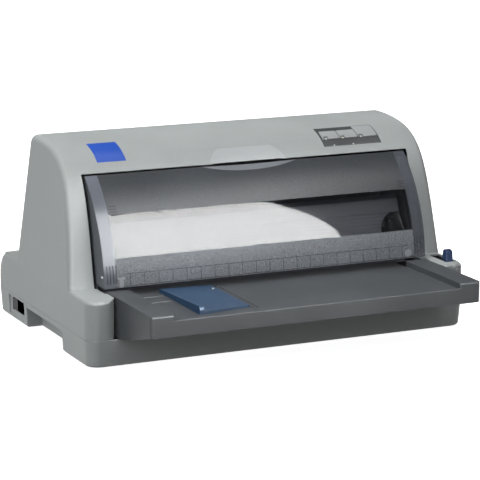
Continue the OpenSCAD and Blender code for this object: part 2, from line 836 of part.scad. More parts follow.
module front_cover() {
    color("slategray", 0.5)
        difference() {
            union() {
                cover_section(-cover_half, cover_half, 0, cover_t);
                // side walls that reach back between the pillars
                both_sides()
                    across(cover_half - cover_t, cover_half)
                        polygon(concat(cover_arc(eps), [
                            hood_inner(cover_top_t - 0.01, cover_cheek * 0.45),
                            hood_inner(0.3, cover_cheek),
                            [hood_front + cover_cheek, cover_foot_z + 31],
                            [hood_front + 5, cover_foot_z + 1],
                            [cover_foot_d + 3, cover_foot_z]
                        ]));
                // bosses around the pivots
                both_sides()
                    bar_x(cover_half - cover_t - 1.6, cover_half - cover_t + eps, cover_pivot_d,
                        cover_pivot_z, cover_pin_r + 2);
                // stiffening ribs behind the lower edge
                for (i = [-floor((cover_half - 12) / rib_pitch) : floor((cover_half - 12) / rib_pitch)])
                    cover_section(i * rib_pitch - 0.8, i * rib_pitch + 0.8, cover_t - eps,
                        cover_t + rib_reach * 0.5, 0.005, 0.1);
                cover_section(-frame_in + 4, frame_in - 4, cover_t - eps, cover_t + 2, 0.093, 0.108);
            }
            both_sides()
                bar_x(cover_half - cover_t - 2, cover_half + over, cover_pivot_d, cover_pivot_z,
                    cover_pin_r + run_gap);
            scoop_tool(cover_a1 - 90 - scoop_taper);
        }
}

// ---------------------------------------------------------------- rear cover

function wedge_z(d) = shoulder_z
    + shelf_rise * (shelf_end - d) / (shelf_end - (hood_rear - 5));
rear_hinge = [hood_rear + 9, wedge_z(hood_rear + 9) - 3.9];
rear_pin_r = 2;
rear_cover_front = hood_rear + 3.5;
rear_cover_foot = 61;

function rear_cover_curve(inset) = concat(
    [[rear_cover_front, wedge_z(rear_cover_front) - inset]],
    [[shelf_end, shoulder_z - inset]],
    [for (i = [1 : 10]) let (a0 = 83, a1 = asin((rear_cover_foot - shoulder_z + rear_edge_r) / rear_edge_r),
        a = a0 + (a1 - a0) * i / 10)
        [body_d - rear_edge_r, shoulder_z - rear_edge_r] + (rear_edge_r - inset) * [cos(a), sin(a)]]
);

module rear_cover() {
    x = rear_bay_half - pass_gap;
    color("lightgray") {
        difference() {
            union() {
                across(-x, x)
                    polygon(band(rear_cover_curve(0), rear_cover_curve(wall)));
                both_sides()
                    bar_x(x - 12, x, rear_hinge[0], rear_hinge[1], 3.4);
                for (i = [-3 : 3])
                    across(i * 50 - 1, i * 50 + 1)
                        polygon(band(rear_cover_curve(wall - eps), rear_cover_curve(wall + 2)));
            }
            // finger notch in the lower edge
            bar_x(-25, 25, body_d + 5, rear_cover_foot - 4, 9);
        }
        both_sides()
            bar_x(x - eps, rear_bay_half + wall, rear_hinge[0], rear_hinge[1], rear_pin_r);
    }
}

// ---------------------------------------------------------------- controls

panel_depth = 1.6;
badge_depth = 0.8;
panel_t0 = 0.57;
panel_t1 = 0.765;
badge_t0 = 0.585;
badge_t1 = 0.79;
badge_x = -half_w + badge_inset;
// Each button: place along the panel, width, lower and upper place up the panel
buttons = [[2, 21, 0.33, 0.75], [24, 23, 0.33, 0.75], [48, 25, 0.33, 0.93]];
function panel_t(f) = panel_t0 + (panel_t1 - panel_t0) * f;

module button_hole(b) {
    difference() {
        panel_slice(b[0] - pass_gap, b[0] + b[1] + pass_gap, b[2] - 0.012, b[3] + 0.012, -over, wall + over);
        panel_slice(b[0] + 1.5, b[0] + 6.5, b[2] - 0.1, b[2] + 0.1, -2 * over, wall + 2 * over);
    }
}

// A slice of the hood's curve: from x0 to x1 along the panel and f0 to f1 up it, between two depths
module panel_slice(x0, x1, f0, f1, depth0, depth1) {
    across(panel_x + x0, panel_x + x1)
        polygon(band(hood_curve(depth0, panel_t(f0), panel_t(f1)), hood_curve(depth1, panel_t(f0), panel_t(f1))));
}

// A key cap that follows the hood's curve, with a longer skirt that stops it falling out
module button(b) {
    difference() {
        panel_slice(b[0], b[0] + b[1], b[2], b[3], -1, wall + 0.6);
        // notch beside the indicator window
        panel_slice(b[0] + 1.5 - pass_gap, b[0] + 6.5 + pass_gap, b[2] - 0.1, b[2] + 0.112, -1 - over, wall + over);
    }
    panel_slice(b[0], b[0] + b[1], b[2] - 0.03, b[3] + 0.03, wall + 0.4, wall + 1.6);
}

module button_left() { color("gainsboro") button(buttons[0]); }
module button_middle() { color("gainsboro") button(buttons[1]); }
module button_right() { color("gainsboro") button(buttons[2]); }

module control_panel() {
    color("dimgray")
        difference() {
            across(panel_x, panel_x + panel_w)
                polygon(band(hood_curve(0.1, panel_t(0.01), panel_t(0.99)),
                    hood_curve(panel_depth - 0.05, panel_t(0.01), panel_t(0.99))));
            for (b = buttons)
                button_hole(b);
            for (b = buttons)
                lens_block(b[0] + 2.5, b[2] + 0.03, over);
        }
}

// A small window in the notch at the lower left corner of a key
module lens_block(x, f, proud) {
    across(panel_x + x, panel_x + x + 3)
        polygon(band(hood_curve(-proud, panel_t(f - 0.035), panel_t(f + 0.035)),
            hood_curve(panel_depth, panel_t(f - 0.035), panel_t(f + 0.035))));
}

module indicator_lenses() {
    color("honeydew")
        for (b = buttons)
            lens_block(b[0] + 2.5, b[2] + 0.03, 0.1);
}

module badge_plate() {
    color("royalblue")
        across(badge_x, badge_x + badge_w)
            polygon(band(hood_curve(-0.15, badge_t0, badge_t1), hood_curve(badge_depth, badge_t0, badge_t1)));
}

module switch_bezel() {
    color("dimgray")
        difference() {
            block(-half_w + switch_depth, -half_w + switch_depth + 1, switch_d[0], switch_d[1],
                switch_z[0], switch_z[1]);
            block(-half_w - over, -half_w + 4 * wall, rocker_at[0] - rocker_len / 2 - 0.8,
                rocker_at[0] + rocker_len / 2 + 0.8, rocker_at[1] - rocker_h / 2 - 0.4,
                rocker_at[1] + rocker_h / 2 + 0.4);
        }
}

// A rocker with a shallow valley, tipped to its off side; it turns about an upright pin
module power_rocker() {
    half = rocker_len / 2;
    tip = half * tan(rocker_throw / 2);
    valley = -3.4;
    color("black")
        translate([rocker_x, front_y + rocker_at[0], rocker_at[1] - rocker_h / 2])
            rotate([0, 0, rocker_throw / 2]) {
                linear_extrude(rocker_h)
                    polygon([[2, -half], [valley - tip, -half], [valley, 0], [valley - tip, half], [2, half]]);
                translate([0, 0, -rocker_pin_reach])
                    cylinder(r = rocker_pin_r, h = rocker_h + 2 * rocker_pin_reach);
            }
}

// Lever beside the tray that opens the pinch rollers
module release_lever() {
    hub = 8;
    tip = lever_pivot + lever_reach * [-sin(lever_lean), cos(lever_lean)];
    color("midnightblue")
        difference() {
            union() {
                bar_x(lever_x - lever_w / 2 + 1, lever_x + lever_w / 2 - 1, lever_pivot[0],
                    lever_pivot[1], hub);
                across(lever_x - lever_w / 2 + 2, lever_x + lever_w / 2 - 2)
                    polygon([lever_pivot + [-5, 2], lever_pivot + [5, 2],
                        tip + [2.6, -8], tip + [-3.4, -9.6]]);
                // finger grip, wider at its foot
                across(lever_x - lever_w / 2 + 0.6, lever_x + lever_w / 2 - 0.6)
                    polygon([tip + [-5.6, -15], tip + [5.8, -12.2], tip + [3.6, -1], tip + [2.4, 0],
                        tip + [-2.6, -1.2], tip + [-3.6, -2.4]]);
            }
            bar_x(lever_x - lever_w, lever_x + lever_w, lever_pivot[0], lever_pivot[1],
                lever_pin_r + run_gap);
        }
}
lever_pin_r = 4;

// Lever that sets the gap between print head and platen
thick_x0 = frame_in - 12;
thick_x1 = frame_in - 3;
thick_pivot = [118, 92];
thick_pin_r = 3;
module thickness_lever() {
    color("dimgray")
        difference() {
            union() {
                bar_x(thick_x0, thick_x1, thick_pivot[0], thick_pivot[1], 6.5);
                across(thick_x0 + 1, thick_x1 - 1)
                    polygon([thick_pivot + [0, 6], thick_pivot + [-5, -4], [92, 98], [94, 106]]);
                across(thick_x0, thick_x1)
                    polygon([[89, 98], [98, 97], [100, 112], [97, 116], [92, 116], [89, 113]]);
            }
            bar_x(thick_x0 - over, thick_x1 + over, thick_pivot[0], thick_pivot[1], thick_pin_r + run_gap);
        }
}

// ---------------------------------------------------------------- frame

frame_front = 76;
frame_rear = 266;
bush_r = 6.5;
bush_flange = 8;
feed_shafts = [[front_shaft_d, feed_z], [rear_shaft_d, feed_z], tractor_at];
pinch_shafts = [[front_shaft_d, pinch_z], [rear_shaft_d, pinch_z]];
rail_at = tractor_at + [13, -4];
rail_r = 4;
board_z = 14;
board_t = 1.6;
board_top_z = board_z + board_t;

module base_frame() {
    color("silver")
        difference() {
            union() {
                block(-frame_half, frame_half, 62, frame_rear, pan_z, pan_z + pan_t);
                block(-frame_in + 0.1, frame_in - 0.1, 62, 62 + pan_t, pan_z, pan_z + 12);
                for (x = board_x, d = board_d)
                    post(x, d, pan_z + pan_t - eps, board_z, 3);
            }
            for (x = [-1, 1], d = frame_boss_d)
                post(x * frame_boss_x, d, pan_z - over, pan_z + 13, screw_core_r);
            for (x = [30 : 24 : 126])
                block(x, x + 14, 115, 185, pan_z - over, pan_z + pan_t + over);
        }
}
board_x = [-175, -35];
board_d = [150, 262];

// Outline of a side frame: the forward arm carries the cover, the low arm of the right
// frame carries the release lever
cover_arm_r = 3.8;
cover_pivot = [cover_pivot_d, cover_pivot_z];
function frame_outline(armed) = concat(
    armed ? [[lever_pivot[0] - 7, 34], [62, 34]] : [],
    [[62, pan_z + pan_t], [frame_rear, pan_z + pan_t], [frame_rear, 60], [232, 68.5],
        [226, 68.5], [222, 84], [207, 142],
        [200, frame_top], [128, frame_top], [104, 138], [frame_front, 104], [frame_front, 97]],
    [for (a = [90 : 30 : 270]) cover_pivot + cover_arm_r * [cos(a), sin(a)]],
    [[frame_front, cover_pivot_z - cover_arm_r], [frame_front, 66], [62, 66]],
    armed ? [[62, 46], [lever_pivot[0] - 7, 46]] : []
);

module side_plate(armed) {
    difference() {
        across(frame_in, frame_half)
            polygon(frame_outline(armed));
        for (p = feed_shafts)
            bar_x(frame_in - over, frame_half + over, p[0], p[1], bush_r);
        for (p = pinch_shafts)
            bar_x(frame_in - over, frame_half + over, p[0], p[1], pinch_shaft_r + run_gap);
        bar_x(frame_in - over, frame_half + over, shaft_d, shaft_z, shaft_r);
        bar_x(frame_in - over, frame_half + over, rail_at[0], rail_at[1], rail_r);
        // lightening windows
        across(frame_in - over, frame_half + over) {
            polygon([[96, 20], [126, 20], [118, 48], [100, 48]]);
            polygon([[180, 16], [250, 16], [246, 34], [186, 34]]);
            polygon([[130, 112], [158, 112], [162, 142], [134, 142]]);
        }
    }
}

// The fixed pin on which the cover turns
module cover_pin() {
    bar_x(frame_half, cover_half + 1, cover_pivot_d, cover_pivot_z, cover_pin_r);
}

module side_frame_left() {
    color("silver")
        mirror([1, 0, 0]) {
            side_plate(false);
            cover_pin();
        }
}

module side_frame_right() {
    color("silver") {
        difference() {
            side_plate(true);
            bar_x(frame_in - over, frame_half + over, pinion_at[0], pinion_at[1], pitch_r(pinion_teeth) + 3);
        }
        cover_pin();
        // fixed pins for the levers and the idler gears
        bar_x(frame_half, lever_x + lever_w / 2 + 1, lever_pivot[0], lever_pivot[1], lever_pin_r);
        bar_x(thick_x0 - 0.5, frame_in, thick_pivot[0], thick_pivot[1], thick_pin_r);
        bar_x(frame_half, gear_x + gear_t + 2, print_d, feed_z, idler_pin_r);
        bar_x(frame_half, gear_x + gear_t + 2, tractor_idler_at[0], tractor_idler_at[1], idler_pin_r);
    }
}
idler_pin_r = 3;

// Cross member that carries the belt drive
module rear_beam() {
    color("silver") {
        difference() {
            union() {
                block(-frame_in, frame_in, shaft_d + 10.5, beam_rear, beam_z, beam_z + sheet_t);
                block(-frame_in, frame_in, beam_rear - sheet_t, beam_rear, beam_z - 14, beam_z + eps);
            }
            post(-pulley_x, belt_d, beam_z - over, beam_z + sheet_t + over, 4);
        }
        post(pulley_x, belt_d, beam_z + sheet_t, beam_z + 12, pulley_pin_r);
    }
}
pulley_pin_r = 2;
beam_rear = belt_d + 20;

rail_d = 104;
rail_top_z = 118;
module guide_rail() {
    color("silver") {
        block(-frame_in, frame_in, rail_d, rail_d + 14, rail_top_z, rail_top_z + sheet_t);
        block(-frame_in, thick_x0 - 3, rail_d, rail_d + sheet_t, rail_top_z - 10, rail_top_z + eps);
    }
}

module carriage_shaft() {
    color("gainsboro")
        bar_x(-frame_half - 2, frame_half + 2, shaft_d, shaft_z, shaft_r);
}

// Flanged plain bushes of the driven shafts
module shaft_bushes() {
    color("wheat")
        both_sides()
            for (p = feed_shafts)
                difference() {
                    union() {
                        bar_x(frame_in, frame_half, p[0], p[1], bush_r);
                        bar_x(frame_in - 1.2, frame_in, p[0], p[1], bush_flange);
                    }
                    bar_x(frame_in - 2, frame_half + over, p[0], p[1], feed_shaft_r + run_gap);
                }
}

// ---------------------------------------------------------------- paper path

platen_half_d = 6;
module platen() {
    color("dimgray")
        block(-frame_in, frame_in, print_d - platen_half_d, print_d + platen_half_d, deck_z - 6, deck_z);
}

rollers_x = [-150, -75, 0, 75, 150];
roller_w = 24;
guide_end = 224;
guide_half = frame_in - 1.5;

module lower_guide() {
    color("gray")
        difference() {
            union() {
                block(-guide_half, guide_half, deck_rear + pass_gap, guide_end, deck_z - 1.5, deck_z);
                // turned-down rear edge that leads the paper up from the tractors
                across(-guide_half, guide_half)
                    polygon([[guide_end - eps, deck_z], [guide_end + 7, deck_z - 7],
                        [guide_end + 6, deck_z - 8], [guide_end - eps, deck_z - 1.5]]);
            }
            for (x = rollers_x, d = [front_shaft_d, rear_shaft_d])
                block(x - roller_w / 2 - 1, x + roller_w / 2 + 1, d - feed_r - 1, d + feed_r + 1,
                    deck_z - 3, deck_z + over);
            block(-frame_in - over, frame_in + over, print_d - platen_half_d, print_d + platen_half_d,
                deck_z - 3, deck_z + over);
        }
}

// Leaning inner guide with fine ridges across its face
plate_foot = [72, 84];
plate_top = [92, 139];
plate_ridges = 14;
module guide_plate() {
    dir = unit(plate_top - plate_foot);
    out = [-dir[1], dir[0]];
    len = norm(plate_top - plate_foot);
    color("slategray")
        difference() {
            across(-frame_in, frame_in)
                polygon(concat(
                    [plate_foot + [6, 0], plate_foot],
                    [for (i = [0 : plate_ridges - 1], k = [0, 1])
                        plate_foot + dir * len * (i + [0.15, 0.85][k]) / plate_ridges + out * [0.5, 0][k]],
                    [plate_top, plate_top + [10, 3], plate_top + [10, 1], plate_top + [1.5, -1.5],
                        plate_foot + [2.2, 2], plate_foot + [6, 2]]
                ));
            // notch that leaves room for the gap lever
            translate([frame_in - 27, front_y + 60, plate_foot[1] - over])
                cube([28, 50, 22]);
            translate([frame_in - 7, front_y + 60, plate_foot[1] + 21 - over])
                rotate([-90, 0, 0])
                    cylinder(r = 20, h = 50);
        }
}

module roller_row(p, r, shaft) {
    for (x = rollers_x)
        difference() {
            bar_x(x - roller_w / 2, x + roller_w / 2, p[0], p[1], r);
            bar_x(x - roller_w, x + roller_w, p[0], p[1], shaft);
        }
}

module driven_shaft(p) {
    bar_x(-frame_half - 2, gear_x + gear_t + 1, p[0], p[1], feed_shaft_r);
}

// Phases at which the teeth of the train mesh, each taken from its neighbour along the
// direction dir between the two centres
function mesh_phase(phase, teeth, other, dir) =
    dir + 180 - 360 / other * (0.5 - (dir - phase) * teeth / 360);
feed_idler_phase = mesh_phase(0, feed_teeth, feed_teeth, 0);
pinion_phase = mesh_phase(feed_idler_phase, feed_teeth, pinion_teeth, -90);
tractor_idler_phase = mesh_phase(0, feed_teeth, tractor_idler_teeth, -tractor_drop);
tractor_gear_phase = mesh_phase(tractor_idler_phase, tractor_idler_teeth, feed_teeth, -tractor_drop);

module front_feed_shaft() {
    color("gainsboro")
        driven_shaft(feed_shafts[0]);
    color("ivory")
        gear(feed_teeth, 0, feed_shafts[0], gear_x, feed_shaft_r);
}

module rear_feed_shaft() {
    color("gainsboro")
        driven_shaft(feed_shafts[1]);
    color("ivory")
        gear(feed_teeth, 0, feed_shafts[1], gear_x, feed_shaft_r);
}

module front_feed_rollers() { color("dimgray") roller_row(feed_shafts[0], feed_r, feed_shaft_r); }
module rear_feed_rollers() { color("dimgray") roller_row(feed_shafts[1], feed_r, feed_shaft_r); }

module feed_idler_gear() {
    color("ivory")
        gear(feed_teeth, feed_idler_phase, [print_d, feed_z], gear_x, idler_pin_r + run_gap);
}

module tractor_idler_gear() {
    color("ivory")
        gear(tractor_idler_teeth, tractor_idler_phase, tractor_idler_at, gear_x, idler_pin_r + run_gap);
}

module feed_pinion() {
    color("goldenrod")
        gear(pinion_teeth, pinion_phase, pinion_at, gear_x, motor_pin_r + run_gap);
}
motor_pin_r = 2;

module pinch_row(p) {
    color("gainsboro")
        bar_x(-frame_half - 1, frame_half + 1, p[0], p[1], pinch_shaft_r);
    color("dimgray")
        roller_row(p, pinch_r, pinch_shaft_r);
}
module front_pinch_rollers() { pinch_row(pinch_shafts[0]); }
module rear_pinch_rollers() { pinch_row(pinch_shafts[1]); }

module feed_motor() {
    color("darkgray") {
        bar_x(frame_in - 36, frame_in - 0.01, pinion_at[0], pinion_at[1], 17.5);
        bar_x(frame_in - 0.01, gear_x + gear_t + 1, pinion_at[0], pinion_at[1], motor_pin_r);
    }
}

// ---------------------------------------------------------------- carriage

carriage_x = -carriage_home;
belt_z = beam_z + sheet_t + 2;
belt_h = 6;
belt_t = 1.4;
belt_gap = 0.3;
head_half = 15;
head_d = [130, 162];
carriage_top = 126;

module carriage() {
    x0 = carriage_x - carriage_w / 2;
    x1 = carriage_x + carriage_w / 2;
    color("dimgray")
        difference() {
            union() {
                block(x0, x1, 119.5, 166, 96, carriage_top);
                block(x0 + 6, x1 - 6, rail_d + 3, 120, rail_top_z + sheet_t + 0.3, carriage_top);
                block(x0, x1, 160, shaft_d + 8.5, 86, 112);
                // arm that clamps the belt
                block(carriage_x - 9, carriage_x + 9, shaft_d + 4, belt_d - pulley_r - belt_gap - belt_t - 0.4,
                    beam_z + sheet_t + 0.8, belt_z + belt_h + 1.5);
                block(carriage_x - 9, carriage_x + 9, shaft_d + 4, belt_d - pulley_r + 2.6,
                    belt_z + belt_h + 0.4, belt_z + belt_h + 2);
                block(carriage_x - 9, carriage_x + 9, belt_d - pulley_r - belt_gap + 0.4,
                    belt_d - pulley_r + 2.6, belt_z - 0.6, belt_z + belt_h + 2);
            }
            bar_x(x0 - over, x1 + over, shaft_d, shaft_z, shaft_r + run_gap);
            block(carriage_x - head_half - 2, carriage_x + head_half + 2, head_d[0] - 2, head_d[1] - 1,
                80, carriage_top + over);
            // the pocket's lightening windows
            block(x0 + 5, carriage_x - head_half - 5, 124, 158, 95, carriage_top - 3);
            block(carriage_x + head_half + 5, x1 - 5, 124, 158, 95, carriage_top - 3);
        }
}

module print_head() {
    d = (head_d[0] + head_d[1]) / 2;
    color("darkslategray") {
        // nose, body and flange
        block(carriage_x - 7, carriage_x + 7, print_d - 6, print_d + 6, deck_z + 2.6, 88);
        block(carriage_x - head_half, carriage_x + head_half, head_d[0] + 1, head_d[1] - 3, 88, carriage_top + 2);
        block(carriage_x - head_half - 4, carriage_x + head_half + 4, head_d[0] - 4, head_d[1] + 1,
            carriage_top, carriage_top + 2.5);
        // cooling fins
        for (i = [-4 : 4])
            block(carriage_x + i * 3.4 - 0.7, carriage_x + i * 3.4 + 0.7, head_d[0] + 1, head_d[1] - 3,
                carriage_top + 2.5, carriage_top + 14);
    }
}

module ribbon_cartridge() {
    x = cartridge_w / 2;
    z0 = carriage_top;
    color("black")
        difference() {
            union() {
                block(carriage_x - x, carriage_x + x, 106, 178, z0, z0 + 15);
                // arms that bring the ribbon down to the nose
                for (side = [-1, 1])
                    across(carriage_x + side * 36 - 2, carriage_x + side * 36 + 2)
                        polygon([[136, z0 + 1], [140, 76], [152, 76], [156, z0 + 1]]);
                // a knob on the cartridge
                post(carriage_x + x - 12, 117, z0 + 15 - eps, z0 + 19, 8);
            }
            block(carriage_x - head_half - 5, carriage_x + head_half + 5, head_d[0] - 5, head_d[1] + 2,
                z0 - over, z0 + 16);
        }
    color("dimgray")
        block(carriage_x - 38, carriage_x + 38, 141, 151, deck_z + 1.2, deck_z + 1.6);
    for (side = [-1, 1])
        color("dimgray")
            block(carriage_x + side * 38 - 0.2, carriage_x + side * 38 + 0.2, 141, 151, deck_z + 1.2, 77);
}

module carriage_motor() {
    color("darkgray") {
        post(-pulley_x, belt_d, beam_z - 30, beam_z, 15.5);
        post(-pulley_x, belt_d, beam_z - eps, belt_z + belt_h + 2, pulley_pin_r);
    }
}

module pulley(x) {
    difference() {
        union() {
            post(x, belt_d, belt_z - 0.2, belt_z + belt_h + 0.2, pulley_r);
            post(x, belt_d, belt_z - 1.2, belt_z - 0.3, pulley_r + 1.5);
            post(x, belt_d, belt_z - 0.31, belt_z - 0.19, pulley_r - 1);
        }
        post(x, belt_d, belt_z - 3, belt_z + belt_h + 3, pulley_pin_r + run_gap);
    }
}
module motor_pulley() { color("silver") pulley(-pulley_x); }
module idler_pulley() { color("silver") pulley(pulley_x); }

module timing_belt() {
    r = pulley_r + belt_gap;
    color("black")
        translate([0, front_y + belt_d, belt_z])
            linear_extrude(belt_h)
                difference() {
                    belt_loop(r + belt_t);
                    belt_loop(r);
                }
}

module belt_loop(r) {
    translate([-pulley_x, -r])
        square([2 * pulley_x, 2 * r]);
    for (side = [-1, 1])
        translate([side * pulley_x, 0])
            circle(r = r);
}

// ---------------------------------------------------------------- tractors

tractor_d = [tractor_at[0] - 12, tractor_at[0] + 21];
tractor_z = [tractor_at[1] - 9, tractor_at[1] + 6];
pin_pitch = 12.7;
sprocket_r = 5.6;
door_len = 21;
door_w = 12.8;
door_z = tractor_z[1] + 3.3;
lock_w = 3;

module tractor_drive_shaft() {
    color("gainsboro") {
        h = tractor_shaft_half;
        block(-frame_in + 2, frame_in - 2, tractor_at[0] - h, tractor_at[0] + h, tractor_at[1] - h,
            tractor_at[1] + h);
        bar_x(-frame_half - 2, -frame_in + 2 + eps, tractor_at[0], tractor_at[1], feed_shaft_r);
        bar_x(frame_in - 2 - eps, gear_x + gear_t + 1, tractor_at[0], tractor_at[1], feed_shaft_r);
    }
    color("ivory")
        gear(feed_teeth, tractor_gear_phase, tractor_at, gear_x, feed_shaft_r);
}
module tractor_rail() {
    color("gainsboro")
        bar_x(-frame_half - 1, frame_half + 1, rail_at[0], rail_at[1], rail_r);
}

module tractor(x) {
    color("dimgray")
        difference() {
            union() {
                block(x - tractor_w / 2, x + tractor_w / 2, tractor_d[0] + 6, tractor_d[1] - 6,
                    tractor_z[0], tractor_z[1]);
                block(x - tractor_w / 2, x + tractor_w / 2, tractor_d[0], tractor_d[1],
                    tractor_z[0] + 6, tractor_z[1] - 5);
                for (d = [tractor_d[0] + 6, tractor_d[1] - 6], z = [tractor_z[0] + 6, tractor_z[1] - 6])
                    bar_x(x - tractor_w / 2, x + tractor_w / 2, d, z, 6);
                // feed pins
                for (i = [-1 : 1])
                    post(x, (tractor_d[0] + tractor_d[1]) / 2 + i * 8, tractor_z[1] - eps, tractor_z[1] + 2, 1.6);
            }
            // cavity of the drive wheel, shaft passage and rail bore
            bar_x(x - 4.4, x + 4.4, tractor_at[0], tractor_at[1], sprocket_r + 0.4 - 0.35);
            bar_x(x - tractor_w, x + tractor_w, tractor_at[0], tractor_at[1], tractor_shaft_half * 1.5 + 0.2);
            bar_x(x - tractor_w, x + tractor_w, rail_at[0], rail_at[1], rail_r + run_gap);
        }
}
module tractor_left() { tractor(-tractor_x); }
module tractor_right() { tractor(tractor_x); }

module sprocket(x) {
    color("ivory")
        difference() {
            bar_x(x - 4, x + 4, tractor_at[0], tractor_at[1], sprocket_r - 0.3);
            h = tractor_shaft_half + run_gap;
            translate([x - 5, front_y + tractor_at[0] - h, tractor_at[1] - h])
                cube([10, 2 * h, 2 * h]);
        }
}
module tractor_sprocket_left() { sprocket(-tractor_x); }
module tractor_sprocket_right() { sprocket(tractor_x); }

// Flip-up door over the feed pins, hinged on the outer side
module door(side) {
    x = side * tractor_x;
    hinge_x = x + side * (tractor_w / 2 - 2);
    d0 = (tractor_d[0] + tractor_d[1]) / 2 - door_len / 2 - 1;
    color("gray")
        difference() {
            union() {
                block(min(hinge_x, hinge_x - side * door_w), max(hinge_x, hinge_x - side * door_w), d0,
                    d0 + door_len, door_z - 0.9, door_z + 0.9);
                translate([hinge_x, front_y + d0, door_z])
                    rotate([-90, 0, 0])
                        cylinder(r = 2, h = door_len);
            }
            block(x - 2.4, x + 2.4, d0 + 1.5, d0 + door_len - 1.5, door_z - 2, door_z + 2);
        }
}
module tractor_door_left() { door(-1); }
module tractor_door_right() { door(1); }

// Lever on the rail that locks a tractor in place
module lock_lever(side) {
    x = side * (tractor_x + tractor_w / 2 + 0.4 + lock_w / 2);
    color("steelblue")
        difference() {
            union() {
                bar_x(x - lock_w / 2, x + lock_w / 2, rail_at[0], rail_at[1], 6.4);
                across(x - lock_w / 2, x + lock_w / 2)
                    polygon([rail_at + [-4, 4], rail_at + [4, 4], rail_at + [9, 17], rail_at + [5, 18]]);
            }
            bar_x(x - lock_w, x + lock_w, rail_at[0], rail_at[1], rail_r + run_gap);
        }
}
module tractor_lock_left() { lock_lever(-1); }
module tractor_lock_right() { lock_lever(1); }

// ---------------------------------------------------------------- electrics

module main_board() {
    color("darkgreen")
        difference() {
            block(board_x[0] - 8, board_x[1] + 8, board_d[0] - 8, body_d - wall - 6, board_z, board_z + board_t);
            for (x = board_x, d = board_d)
                post(x, d, board_z - over, board_z + board_t + over, screw_core_r);
        }
    color("black") {
        block(-130, -105, 190, 215, board_z + board_t, board_z + board_t + 3);
        block(-90, -70, 170, 182, board_z + board_t, board_z + board_t + 2.5);
        block(-90, -70, 192, 204, board_z + board_t, board_z + board_t + 2.5);
    }
    color("silver")
        for (x = [-60, -46])
            post(x, 175, board_z + board_t, board_z + board_t + 18, 5.5);
}

module power_supply() {
    z = pan_z + pan_t;
    color("silver")
        difference() {
            block(18, 142, 100, 222, z, z + 34);
            block(18 + pan_t, 142 - pan_t, 100 + pan_t, 222 - pan_t, z + pan_t, z + 35);
            for (i = [0 : 9])
                block(26 + 11 * i, 30 + 11 * i, 90, 230, z + 8, z + 28);
            for (x = [30 : 24 : 126])
                block(x, x + 14, 115, 185, z - over, z + pan_t + over);
        }
    color("darkkhaki")
        block(28, 72, 190, 218, z + pan_t, z + 30);
    color("black")
        for (x = [92, 114])
            post(x, 204, z + pan_t, z + 30, 9);
}

module ac_inlet() {
    color("black")
        difference() {
            block(inlet_x - inlet_w / 2, inlet_x + inlet_w / 2, body_d - 24, body_d - 0.2, inlet_z,
                inlet_z + inlet_h);
            difference() {
                block(inlet_x - inlet_w / 2 + 1.5, inlet_x + inlet_w / 2 - 1.5, body_d - 16, body_d + over,
                    inlet_z + 1.5, inlet_z + inlet_h - 1.5);
                for (x = [-7, 0, 7])
                    block(inlet_x + x - 1, inlet_x + x + 1, body_d - 17, body_d - 6, inlet_z + 7, inlet_z + 13);
            }
        }
}

module parallel_connector() {
    z = board_top_z;
    color("dimgray")
        difference() {
            block(parallel_x - parallel_w / 2, parallel_x + parallel_w / 2, body_d - 20, body_d - 0.2,
                z, z + parallel_h);
            block(parallel_x - parallel_w / 2 + 2, parallel_x + parallel_w / 2 - 2, body_d - 9, body_d + over,
                z + 2, z + 5);
            block(parallel_x - parallel_w / 2 + 2, parallel_x + parallel_w / 2 - 2, body_d - 9, body_d + over,
                z + parallel_h - 5, z + parallel_h - 2);
            block(parallel_x - parallel_w / 2 + 2, parallel_x - parallel_w / 2 + 5, body_d - 9, body_d + over,
                z + 2, z + parallel_h - 2);
            block(parallel_x + parallel_w / 2 - 5, parallel_x + parallel_w / 2 - 2, body_d - 9, body_d + over,
                z + 2, z + parallel_h - 2);
        }
}

module usb_connector() {
    z = board_top_z;
    color("silver")
        difference() {
            block(usb_x - usb_w / 2, usb_x + usb_w / 2, body_d - 18, body_d - 0.2, z, z + usb_h);
            difference() {
                block(usb_x - usb_w / 2 + 1, usb_x + usb_w / 2 - 1, body_d - 10, body_d + over, z + 1, z + usb_h - 1);
                block(usb_x - 3, usb_x + 3, body_d - 11, body_d - 2, z + 4, z + 7);
            }
        }
}

// ---------------------------------------------------------------- assembly

lower_case();
upper_case();
front_tray();
rubber_feet();
badge_plate();
control_panel();
indicator_lenses();
switch_bezel();
base_frame();
side_frame_left();
side_frame_right();
rear_beam();
guide_rail();
platen();
lower_guide();
guide_plate();
carriage_shaft();
carriage_motor();
feed_motor();
timing_belt();
main_board();
power_supply();
ac_inlet();
parallel_connector();
usb_connector();
shaft_bushes();
case_screws();
front_cover();
rear_cover();
edge_guide();
release_lever();
thickness_lever();
button_left();
button_middle();
button_right();
power_rocker();
carriage();
print_head();
ribbon_cartridge();
motor_pulley();
idler_pulley();
front_feed_shaft();
rear_feed_shaft();
front_feed_rollers();
rear_feed_rollers();
feed_idler_gear();
tractor_idler_gear();
feed_pinion();
front_pinch_rollers();
rear_pinch_rollers();
tractor_drive_shaft();
tractor_rail();
tractor_left();
tractor_right();
tractor_sprocket_left();
tractor_sprocket_right();
tractor_door_left();
tractor_door_right();
tractor_lock_left();
tractor_lock_right();
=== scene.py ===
# %% [markdown]
# # A flat-bed dot matrix printer, dressed for its portrait
# The shapes of the machine come from its CAD model, which is loaded as a fixed frame.
# This lesson gives each piece the look of its real counterpart: grained mouldings with soft
# edges, a smoke cover with clear and textured bands, plated steel, rubber and acetal.
# Every length is in metres, X runs to the right, Y to the rear and Z up.

# %% Load the frame
import json
import math

import bmesh
import bpy
from mathutils import Matrix, Vector
from mathutils.bvhtree import BVHTree

